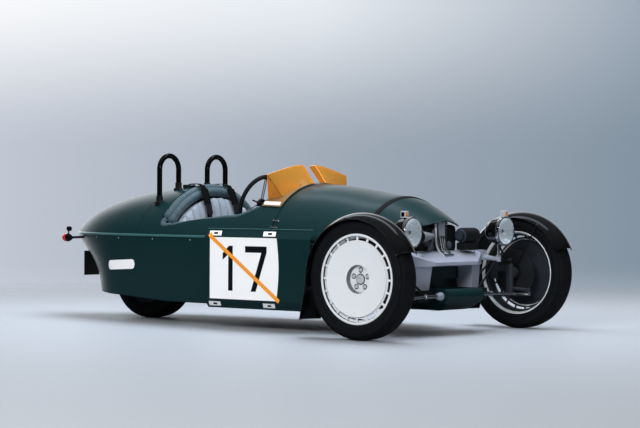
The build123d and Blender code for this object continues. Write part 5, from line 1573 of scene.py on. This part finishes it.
def headlamp(word, side):
    """Gloss black bowl, chrome bezel, bright reflector with its bulb, fluted lens, post and indicator box."""
    centre = at(lamp_d, side * lamp_y, lamp_z)
    bowl = [(0.0, -150.0), (28.0, -146.0), (58.0, -124.0), (78.0, -88.0), (86.0, -40.0), (88.0, -25.0), (84.0, -24.0)]
    lathe(f"lamp_bowl_{word}", rounded(bowl, 14.0, steps=6), centre, AHEAD, black_paint, "chassis", segments=72,
          slot="chrome", replaces=once(side, "headlamps"))
    bezel = [(87.0, -27.0), (93.0, -25.0), (94.3, -16.0), (93.0, -4.0), (88.0, 0.0), (82.5, -2.0), (83.0, -10.0)]
    lathe(f"lamp_bezel_{word}", rounded(bezel, 3.0, closed=True), centre, AHEAD, chrome, "chassis", segments=96,
          closed=True, slot="chrome")
    reflector = [(r, -72.0 * (1 - (r / 84.0) ** 2) - 8.0) for r in np.linspace(9.0, 83.5, 7)]
    # the reflector is faceted, and its silver carries a painted glow
    lathe(f"lamp_reflector_{word}", reflector, centre, AHEAD, silver_with_painted_glow, "chassis", segments=20, slot="chrome",
          smooth=False)
    shield = rounded([(0.0, -26.0), (13.0, -28.0), (15.0, -36.0), (11.0, -50.0), (9.5, -78.0)], 3.0)
    lathe(f"lamp_bulb_shield_{word}", shield, centre, AHEAD, chrome, "chassis", segments=32, slot="chrome")
    lens = [(0.0, 14.0), (30.0, 12.6), (60.0, 7.5), (80.0, 0.0), (83.0, -3.0)]
    lathe(f"lamp_lens_{word}", rounded(lens, 18.0, steps=6), centre, AHEAD, lamp_glass, "chassis", segments=96,
          slot="clear_lens", replaces=once(side, "headlamp_lenses"))
    post_d = lamp_d + 59.0
    bar(f"lamp_post_{word}", [at(post_d, side * lamp_y, 468.0), at(post_d, side * lamp_y, 552.0)], 7.5, chrome,
        "chassis", slot="chrome")
    collar = rounded([(8.0, 4.0), (15.0, 4.0), (17.0, 0.0), (17.0, -8.0), (8.0, -8.0)], 2.0)
    lathe(f"lamp_post_collar_{word}", collar, at(post_d, side * lamp_y, 474.0), UP, machined, "chassis",
          segments=32, slot="forged_steel")
    # the indicator box stands on a stem over the bowl: silver frame with a painted glow, amber window
    y = lamp_y + 35.0
    box(f"indicator_{word}", at(lamp_d + 62, side * (y - 17), lamp_z + 88),
        at(lamp_d + 24, side * (y + 17), lamp_z + 128), silver_with_painted_glow, "chassis", 4.0, slot="chrome")
    box(f"indicator_window_{word}", at(lamp_d + 26, side * (y - 11), lamp_z + 94),
        at(lamp_d + 22.6, side * (y + 11), lamp_z + 122), amber_lens, "chassis", 1.5, slot="red_lens")
    box(f"indicator_side_{word}", at(lamp_d + 55, side * (y + 15.6), lamp_z + 95),
        at(lamp_d + 31, side * (y + 18.2), lamp_z + 121), black_paint, "chassis", 1.0, slot="black_plastic")
    box(f"indicator_stem_{word}", at(lamp_d + 48, side * (y - 14), lamp_z + 72),
        at(lamp_d + 36, side * (y + 2), lamp_z + 90), black_paint, "chassis", 2.0, slot="black_plastic")


def tail_lamp(word, side):
    """Bullet lamp on its stalk with a small indicator on a stem above."""
    centre = at(3150.0, side * 215.0, 546.0)
    bullet = [(0.0, 45.0), (14.0, 39.0), (24.0, 21.0), (29.0, 8.0), (29.0, 0.0), (26.0, 0.0)]
    lathe(f"tail_bullet_{word}", rounded(bullet, 8.0, steps=5), centre, AHEAD, black_paint, "chassis", segments=48,
          slot="black_plastic", replaces=once(side, "tail_lamps"))
    ring(f"tail_ring_{word}", centre, AHEAD, 28.0, 0.0, 1.6, chrome, "chassis", segments=48, slot="chrome")
    lens = [(28.5, 0.0), (28.0, -22.0), (22.0, -38.0), (0.0, -45.0)]
    lathe(f"tail_lens_{word}", rounded(lens, 10.0, steps=5), centre, AHEAD, red_lens, "chassis", segments=48,
          slot="red_lens", replaces=once(side, "tail_lamp_lenses"))
    stalk = [at(3117.0, side * 215.0, 546.0), at(3060.0, side * 222.0, 549.0), at(2945.0, side * 231.0, 553.0)]
    bar(f"tail_stalk_{word}", stalk, 8.8, satin_black, "chassis", slot="black_plastic")
    bar(f"tail_stem_{word}", [at(3142.0, side * 215.0, 566.0), at(3142.0, side * 215.0, 600.0)], 4.8, black_paint,
        "chassis", slot="black_plastic")
    knob = [(0.0, 22.0), (12.0, 20.0), (18.0, 12.0), (18.0, -8.0), (15.0, -8.0)]
    high = at(3140.0, side * 215.0, 608.0)
    lathe(f"tail_indicator_{word}", rounded(knob, 3.0), high, AHEAD, black_paint, "chassis", segments=32,
          slot="black_plastic")
    lathe(f"tail_indicator_lens_{word}", [(16.5, -7.0), (14.0, -14.0), (0.0, -17.0)], high, AHEAD, amber_lens,
          "chassis", segments=32, slot="red_lens")


both_sides(headlamp, tail_lamp)


# ---------------------------------------------------------------- nose details
# leaning front face of the centre spine: distance behind the axle, height, half width
SPINE_FACE = (
    (-27.0, 484.0, 45.0), (-12.0, 492.0, 44.0), (8.0, 506.0, 43.5), (24.0, 530.0, 45.0), (32.0, 560.0, 47.5),
    (34.0, 596.0, 49.0), (35.0, 640.0, 50.0), (35.0, 692.0, 50.0),
)


def spine():
    """Centre bar: two bright uprights that flare at the foot, a textured plate above, a dark window below."""
    for word, side in SIDES:
        points = [at(d, side * (half - 8.0), z) for d, z, half in SPINE_FACE]
        strap(f"spine_upright_{word}", points, LEFT, 16.0, 5.0, bright_trim, "chassis", slot="silver_paint",
              replaces=once(side, "grille_spine"))
        cheek = [[at(d + 2.0 + t, side * (half - 1.0), z) for t in (0.0, 13.0)] for d, z, half in SPINE_FACE]
        sheet(f"spine_cheek_{word}", cheek, silver_paint, "chassis", 2.5, flip=side > 0, slot="silver_paint")
    plate_line = ((37.0, 604.0), (37.5, 640.0), (37.5, 692.0))
    plate = [[at(d, y, z) for y in np.linspace(-48.0, 48.0, 3)] for d, z in plate_line]
    sheet("spine_plate", plate, knurled_plate, "chassis", 3.0, flip=True, slot="silver_paint")
    strap("spine_sill", [at(37.0, -46.0, 600.0), at(37.0, 46.0, 600.0)], UP, 9.0, 5.0, bright_trim, "chassis",
          slot="silver_paint")
    foot = [at(-24.0, -45.0, 489.0), at(-24.0, 45.0, 489.0)]
    strap("spine_foot", foot, (0.8, 0, -0.5), 12.0, 5.0, bright_trim, "chassis", slot="silver_paint")
    for k, y in enumerate((-22.0, 0.0, 22.0)):
        bar(f"spine_rod_{k}", [at(26.0, y, 500.0), at(48.0, y, 600.0)], 4.0, machined, "chassis",
            slot="black_plastic")
    # black cover over the engine's front, seen through the nose's mouth on both sides of the spine
    box("engine_cover", at(150.0, -168.0, 500.0), at(62.0, 205.0, 672.0), black_trim, "chassis", 30.0,
        slot="black_plastic")
    box("canister_cradle", at(48.0, 172.0, 514.0), at(-24.0, 318.0, 561.0), black_trim, "chassis", 8.0,
        slot="black_plastic")
    knob = rounded([(0.0, 12.0), (18.0, 12.0), (23.0, 6.0), (24.0, -12.0)], 4.0)
    for k, (y, z) in enumerate(((-128.0, 560.0), (-92.0, 532.0), (96.0, 548.0))):
        lathe(f"pulley_{k}", knob, at(50.0, y, z), AHEAD, grey_plastic, "chassis", segments=32,
              slot="black_plastic")
    hose = [at(52.0, -60.0, 640.0), at(30.0, -95.0, 610.0), at(22.0, -118.0, 560.0), at(30.0, -150.0, 512.0)]
    bar("coolant_hose", hose, 9.0, grey_plastic, "chassis", rounds=30, slot="black_plastic")


def casting_details():
    """Bolts along the beam and at the shoulders, and a rounded cast bead along each horn's edge."""
    for word, side in SIDES:
        for x, y, z in ((-30.0, 190.0, 503.5), (-30.0, 345.0, 503.5), (20.0, 270.0, 482.5)):
            bolt(f"beam_bolt_{word}_{round(x)}_{round(y)}", at(-x, side * y, z), (0.3, 0, 0.95), 8, 6, machined,
                 "chassis", slot="forged_steel")
        for k, (x, z) in enumerate(((-88.0, 500.0), (-22.0, 500.0))):
            bolt(f"shoulder_bolt_{word}_{k}", at(-x, side * 430.0, z - 18), (0, side, 0), 9, 7, machined, "chassis",
                 slot="forged_steel")
        horn_line = [at(71.0, side * y, z) for y, z in ((392, 531), (262, 641), (241, 633))]
        bar(f"horn_edge_{word}", horn_line, 3.5, cast_aluminium, "chassis", slot="cast_aluminium")


def intakes():
    """Ribs and a blue-grey end on the filter canister; ribs, mesh and a mouth on the horn."""
    for y in (196.0, 214.0, 232.0, 250.0, 268.0, 286.0, 304.0):
        ring(f"canister_rib_{round(y)}", at(12.0, y, 606.0), LEFT, 46.0, 0.0, 1.8, black_plastic, "chassis",
             segments=48, slot="black_plastic")
    cap = rounded([(0.0, -28.0), (28.0, -28.0), (33.5, -22.0), (34.8, -4.0), (40.0, -1.0)], 4.0)
    lathe("canister_cap", cap, at(12.0, 176.0, 606.0), LEFT, blue_grey_cap, "chassis", segments=48,
          slot="black_plastic")
    start, end = at(20.0, -238.5, 600.0), at(8.0, -121.5, 606.0)
    way = (end - start).normalized()
    for t in np.linspace(0.06, 0.94, 9):
        place = start.lerp(end, t)
        ring(f"horn_rib_{round(t * 100)}", place, way, 38.3 - 26.0 * t, 0.0, 1.2, grey_plastic, "chassis",
             segments=40, slot="black_plastic")
    cover = [(39.2 - 26.6 * t, (end - start).length * t / mm) for t in np.linspace(0.02, 0.99, 12)]
    lathe("horn_mesh", cover, start, way, grey_mesh, "chassis", segments=48, slot="black_plastic")
    mouth = rounded([(39.5, 3.0), (39.5, -5.0), (34.0, -5.0), (20.0, 6.0), (0.0, 12.0)], 2.0)
    lathe("horn_mouth", mouth, start, way, black_plastic, "chassis", segments=48, slot="black_plastic")


def radiator_fins():
    """Fine fins across the front faces of the two radiators."""
    for word, side in SIDES:
        low_y, high_y = sorted((side * 524.0, side * 626.0))
        for k, z in enumerate(np.linspace(228.0, 532.0, 26)):
            box(f"radiator_fin_{word}_{k}", at(639.0, low_y, z - 1.2), at(633.0, high_y, z + 1.2), fin_metal,
                "chassis", 0.3, slot="black_plastic")


def catches():
    """Bonnet catches on the scuttle beside the bonnet's rear edge, and rivets under the belt rail."""
    for word, side in SIDES:
        for d, y in ((966.0, 472.0), (960.0, 500.0)):
            base = on_deck(d, side * y, 0.0)
            out = (on_deck(d, side * y, 10.0) - base).normalized()
            name = f"catch_{word}_{round(y)}"
            bolt(name, base, out, 11, 6, chrome, "chassis", slot="chrome")
            strap(f"{name}_tongue", [base + out * 0.006, on_deck(d + 40, side * y, 6.0)], tuple(out.cross(AHEAD)),
                  9.0, 3.0, chrome, "chassis", slot="chrome")
        for d in (1290.0, 1659.0, 2028.0, 2402.0, 2700.0):
            y = half_at(d) - 0.4
            bolt(f"rivet_{word}_{round(d)}", at(d, side * y, 558.0), (0, side, 0), 5, 2.2, machined, "chassis",
                 slot="forged_steel")


spine()
casting_details()
intakes()
radiator_fins()
catches()


# ---------------------------------------------------------------- number panels and stickers
panel_y = plate_y + 0.5
panel_front, panel_rear, panel_low, panel_high = 829.0, 1390.0, 193.0, 583.0


def flat_graphic(name, outline_pts, side, lift, mat):
    """Vinyl shape on the side plate, given as (distance behind, height)."""
    verts = [at(d, side * (panel_y + lift), z) for d, z in outline_pts]
    n = len(verts)
    faces = [tuple(range(n)) if side > 0 else tuple(range(n - 1, -1, -1))]
    obj = piece(name, verts, faces, mat, "chassis", slot="silver_paint", smooth=False)

    def face_outwards(bm):
        bmesh.ops.triangulate(bm, faces=bm.faces)
        bmesh.ops.recalc_face_normals(bm, faces=bm.faces)
        bmesh.ops.reverse_faces(bm, faces=[f for f in bm.faces if f.normal.y * side < 0])

    edit(obj, face_outwards)


def on_fold(t, d, side, top, lift, rise):
    """Point on a side plate's upper or lower fold, a share t of the way in and lifted off it."""
    start, end = fold_top if top else fold_low
    z = start + (end - start) * t + (rise if top else -rise)
    return at(d + 22.0 * t, side * (plate_y - fold_in * t + lift), z)


def number_panel(word, side):
    """White square with a generic number and an orange band across it, and four labels with blank bars."""
    # on the left the digits read from the nose, so the layout is mirrored about the panel's middle
    middle_d = (panel_front + panel_rear) / 2

    def spot(d, z):
        return (d if side < 0 else 2 * middle_d - d, z)

    bulge = [
        (panel_front - 17.0 * math.sin(math.pi * t), panel_high - (panel_high - panel_low) * t)
        for t in np.linspace(0.0, 1.0, 13)
    ]
    square = [(panel_rear, panel_low), (panel_rear, panel_high)] + bulge
    flat_graphic(f"panel_{word}", square, side, 0.2, white_vinyl)
    one = [(1232, 246), (1194, 246), (1194, 530), (1226, 530), (1280, 482), (1280, 440), (1232, 474)]
    seven = [(1090, 530), (910, 530), (910, 494), (1000, 246), (1041, 246), (954, 490), (1090, 490)]
    for label, shape in (("first", one), ("second", seven)):
        flat_graphic(f"digit_{label}_{word}", [spot(d, z) for d, z in shape], side, 0.5, black_vinyl)
    start, end = np.array((1406.0, 604.0)), np.array((803.0, 187.0))
    way = (end - start) / np.linalg.norm(end - start)
    wide = np.array((-way[1], way[0])) * 13.0
    # the band runs over the folds at both corners, so its ends follow them
    first, last = start + way * 26, end - way * 5
    corners = [tuple(first - wide), tuple(first + wide), tuple(last + wide), tuple(last - wide)]
    flat_graphic(f"band_{word}", corners, side, 0.8, orange_vinyl)
    fold = []
    for p in (start, start + way * 10, start + way * 20, first + way * 2):
        row = []
        for spot_at in (p - wide, p, p + wide):
            t = max(0.0, (spot_at[1] - fold_top[0]) / (fold_top[1] - fold_top[0]))
            row.append(at(spot_at[0], side * (plate_y - fold_in * t + 1.6), spot_at[1] + 1.0 * t))
        fold.append(row)
    sheet(f"band_{word}_fold", fold, orange_vinyl, "chassis", 0.0, slot="silver_paint", smooth=False)
    for name, low_d, high_d, top in (
        ("rear_high", 1296, 1398, True), ("front_high", 842, 944, True),
        ("rear_low", 1302, 1402, False), ("front_low", 846, 944, False),
    ):
        label = [[on_fold(t, d, side, top, 1.0, 0.8) for d in (low_d, high_d)] for t in (0.26, 0.76)]
        mark = [[on_fold(t, d, side, top, 1.5, 1.2) for d in (low_d + 30, high_d - 38)] for t in (0.4, 0.62)]
        for suffix, rows, mat, slot in (
            ("", label, white_vinyl, "silver_paint"), ("_bar", mark, black_vinyl, "black_plastic"),
        ):
            sheet(f"label_{name}_{word}{suffix}", rows, mat, "chassis", 0.0, slot=slot, smooth=False)


def hull_half(d, z):
    """Half width of the lower body at a height."""
    plan = outline(*along(sorted(TUCK), z))
    return float(np.interp(d, plan[:, 0], plan[:, 1]))


def pill(word, side):
    """White rounded label on the tail's flank."""
    length, height = 312.0, 64.0
    centre_d, centre_z = 2380.0, 379.0
    rows = []
    for u in np.linspace(-1, 1, 41):
        reach = length / 2 - height * 0.45
        near_end = max(0.0, abs(u) * length / 2 - reach) / (height * 0.45)
        tall = height / 2 * (0.12 + 0.88 * math.sqrt(max(0.0, 1 - near_end ** 2)))
        d = centre_d + u * length / 2
        mid = centre_z - u * length / 2 * 0.05
        rows.append([at(d, side * (hull_half(d, mid + t * tall) + 0.7), mid + t * tall) for t in np.linspace(-1, 1, 9)])
    sheet(f"tail_label_{word}", rows, white_vinyl, "chassis", 0.0, flip=side > 0, slot="silver_paint")


def scuttle_label(word, side):
    """Small white label along the outer end of a screen's flange."""
    rows = []
    for t in np.linspace(0, 1, 5):
        row = []
        for s in np.linspace(0, 1, 9):
            front, rear = 1018.0 + 8.0 * t, 1150.0 + 22.0 * t
            d = front + (rear - front) * s
            row.append(on_deck(min(d, 1158.0), side * (389.0 - 24.0 * t), 10.2))
        rows.append(row)
    sheet(f"scuttle_label_{word}", rows, white_vinyl, "chassis", 0.0, flip=side < 0, slot="silver_paint")


def plate_hem(word, side):
    """Bead in the rail's green along the side plate's upper edge."""
    bar(f"plate_hem_{word}", [at(d, side * 601.0, 637.0) for d in np.linspace(1440.0, 570.0, 12)], 2.6, rail_green,
        "chassis", slot="rail_paint")


both_sides(plate_hem, number_panel, pill, scuttle_label)


# ---------------------------------------------------------------- finishes of the CAD nodes that stay
KEPT = {
    "bulkheads": black_trim, "front_casting": cast_aluminium, "chassis_rails": satin_black, "engine": engine_alloy,
    "air_intakes": black_plastic, "lower_cowls": green_paint,
    "cross_member": satin_black, "rack_tube": cast_aluminium, "radiators": core_black,
    "number_plate_holder": black_plastic, "dashboard": black_trim, "steering_column": satin_black,
    "rack_and_tie_rods": chrome, "exhaust": machined, "swingarm": satin_black, "seat_base": black_trim,
    "knuckle_right": forged, "knuckle_left": forged, "brake_disc_right": iron, "brake_disc_left": iron,
    "wishbones": satin_black,
}
for node_name, finish in KEPT.items():
    for material_slot in nodes[node_name].material_slots:
        material_slot.material = finish


# ---------------------------------------------------------------- studio
# strengths of the studio as diffuse light and as what shiny paint mirrors
AMBIENT_LOW, AMBIENT_HIGH = 0.15, 0.5
MIRROR_FLOOR, MIRROR_CEILING, MIRROR_WALL = 0.015, 0.2, 2.2


def backdrop():
    """Grey sweep behind the car: brighter to the left, as the studio's wall is lit."""
    world = bpy.data.worlds.new("studio")
    world.use_nodes = True
    bpy.context.scene.world = world
    tree = world.node_tree
    tree.nodes.clear()
    place = add(tree, "ShaderNodeTexCoord").outputs["Generated"]
    across = toward(tree, place, camera_right)
    rise = add(tree, "ShaderNodeSeparateXYZ", Vector=place).outputs[2]
    # the photograph's left and right edges lie this far off its middle
    sideways = ramp(tree, across, -0.156, 0.156)

    def sweep(left, centre, right):
        colours = add(tree, "ShaderNodeValToRGB", n0=sideways)
        stops = colours.color_ramp.elements
        stops[0].position, stops[0].color = 0.0, srgb(left)
        stops[1].position, stops[1].color = 1.0, srgb(right)
        stops.new(0.5).color = srgb(centre)
        return colours.outputs[0]

    def blend(rise_from, rise_to, below, above):
        return tinted(tree, ramp(tree, rise, rise_from, rise_to, smooth=True), below, above)

    # the wall is brightest high on the left and the floor's far part is pale again
    wall = blend(0.02, 0.105, sweep("C0C7D3", "A1ABB8", "8493A1"), sweep("FBFCFE", "E8EDF3", "9FABB9"))
    seen = blend(-0.078, -0.03, sweep("DFE3EC", "D2D9E3", "D8E0EA"), wall)
    in_sight = calc(tree, "MAXIMUM", path_of(tree, "Is Camera Ray"), path_of(tree, "Is Transmission Ray"))
    # what the paint mirrors: a dark room on the camera's side, the pale wall beyond and a soft ceiling
    beyond = toward(tree, place, camera_ahead)
    ceiling = ramp(tree, rise, 0.35, 0.95, MIRROR_FLOOR, MIRROR_CEILING, smooth=True)
    wall_share = ramp(tree, across, -0.5, 0.35, MIRROR_WALL, 0.2 * MIRROR_WALL, smooth=True)
    wall_light = calc(tree, "MULTIPLY", wall_share, ramp(tree, beyond, 0.68, 0.96, smooth=True))
    mirrored = calc(tree, "ADD", ceiling, wall_light)
    spread = ramp(tree, rise, -0.2, 0.9, AMBIENT_LOW, AMBIENT_HIGH, smooth=True)
    glossy = path_of(tree, "Is Glossy Ray")
    strength = add(tree, "ShaderNodeMix", {"data_type": "FLOAT"}, Factor=glossy, n2=spread, n3=mirrored).outputs[0]
    lit = add(tree, "ShaderNodeBackground", Color=srgb("EEF2F8"), Strength=strength)
    shown = add(tree, "ShaderNodeBackground", Color=seen, Strength=1.0)
    both = add(tree, "ShaderNodeMixShader", n0=in_sight, n1=lit.outputs[0], n2=shown.outputs[0])
    tree.links.new(both.outputs[0], add(tree, "ShaderNodeOutputWorld").inputs["Surface"])


def floor_finish():
    """Pale seamless floor that fades into the backdrop with distance."""
    mat, tree, out = blank("studio floor")
    place = add(tree, "ShaderNodeTexCoord").outputs["Object"]
    fade = ramp(tree, toward(tree, place, camera_ahead), 1.4, 7.0, smooth=True)
    # paint and chrome mirror the floor only faintly, as under the photograph's dark-field lights
    seen_tint = tinted(tree, path_of(tree, "Is Glossy Ray"), srgb("A5AAAF"), srgb("4A4F55"))
    shader = add(tree, "ShaderNodeBsdfPrincipled", Base_Color=seen_tint, Roughness=0.5, Specular_IOR_Level=0.15)
    gone = add(tree, "ShaderNodeBsdfTransparent")
    both = add(tree, "ShaderNodeMixShader", n0=fade, n1=shader.outputs[0], n2=gone.outputs[0])
    tree.links.new(both.outputs[0], out.inputs["Surface"])
    return mat


def lamp(name, place, target, size, watts, colour="FFFFFF", mirrored=True, diffuse=True):
    """Soft box that shines from a place towards a target and is never seen itself."""
    data = bpy.data.lights.new(name, "AREA")
    data.shape = "RECTANGLE"
    data.size, data.size_y = size
    data.energy = watts
    data.color = srgb(colour)[:3]
    obj = bpy.data.objects.new(name, data)
    bpy.context.collection.objects.link(obj)
    obj.location = place
    obj.rotation_euler = (Vector(target) - Vector(place)).to_track_quat("-Z", "Y").to_euler()
    obj.visible_camera = False
    obj.visible_glossy = mirrored
    obj.visible_diffuse = diffuse


# the photograph's camera, solved from the car's wheels, hoops and lamps
azimuth, drop, roll = math.radians(39.677), math.radians(0.457), math.radians(0.314)
camera_place = Vector((axle_x + 7.4966, -10.2573, 0.8369))
camera_ahead = Vector((-math.sin(azimuth) * math.cos(drop), math.cos(azimuth) * math.cos(drop), -math.sin(drop)))
level_right = camera_ahead.cross(Vector(UP)).normalized()
level_up = level_right.cross(camera_ahead)
camera_right = level_right * math.cos(roll) + level_up * math.sin(roll)
camera_up = level_up * math.cos(roll) - level_right * math.sin(roll)
camera_data = bpy.data.cameras.new("camera")
camera_data.lens = 115.52
camera_data.sensor_width = 36.0
camera = bpy.data.objects.new("camera", camera_data)
bpy.context.collection.objects.link(camera)
camera.matrix_world = Matrix((
    (camera_right.x, camera_up.x, -camera_ahead.x, camera_place.x),
    (camera_right.y, camera_up.y, -camera_ahead.y, camera_place.y),
    (camera_right.z, camera_up.z, -camera_ahead.z, camera_place.z),
    (0, 0, 0, 1),
))
bpy.context.scene.camera = camera

backdrop()
bpy.ops.mesh.primitive_plane_add(size=80.0, location=(0, 0, 0))
floor = bpy.context.object
floor.name = "studio_floor"
floor.data.materials.append(floor_finish())
lamp("overhead softbox", (0.2, 0.6, 4.2), (0.0, 0.0, 0.5), (5.5, 2.6), 330.0, "EAF2FF", mirrored=False)
lamp("overhead strip", (0.0, 1.2, 4.0), (0.0, 0.0, 0.6), (5.5, 0.7), 18.0, "E4EEFF", diffuse=False)
lamp("camera side fill", (5.5, -12.5, 6.5), (0.2, 0.0, 0.4), (5.0, 3.0), 1350.0, mirrored=False)
lamp("front sparkle", (7.0, -3.5, 2.6), (1.5, 0.0, 0.6), (0.5, 1.6), 25.0, diffuse=False)
lamp("tail side strip", (-4.5, -2.5, 3.2), (-1.2, 0.0, 0.7), (1.2, 3.2), 60.0, "F4F8FF", mirrored=False)
lamp("far side wash", (1.5, 6.0, 3.0), (0.8, 0.0, 0.5), (4.0, 1.6), 90.0, mirrored=False)
bpy.context.scene.view_settings.view_transform = "Standard"
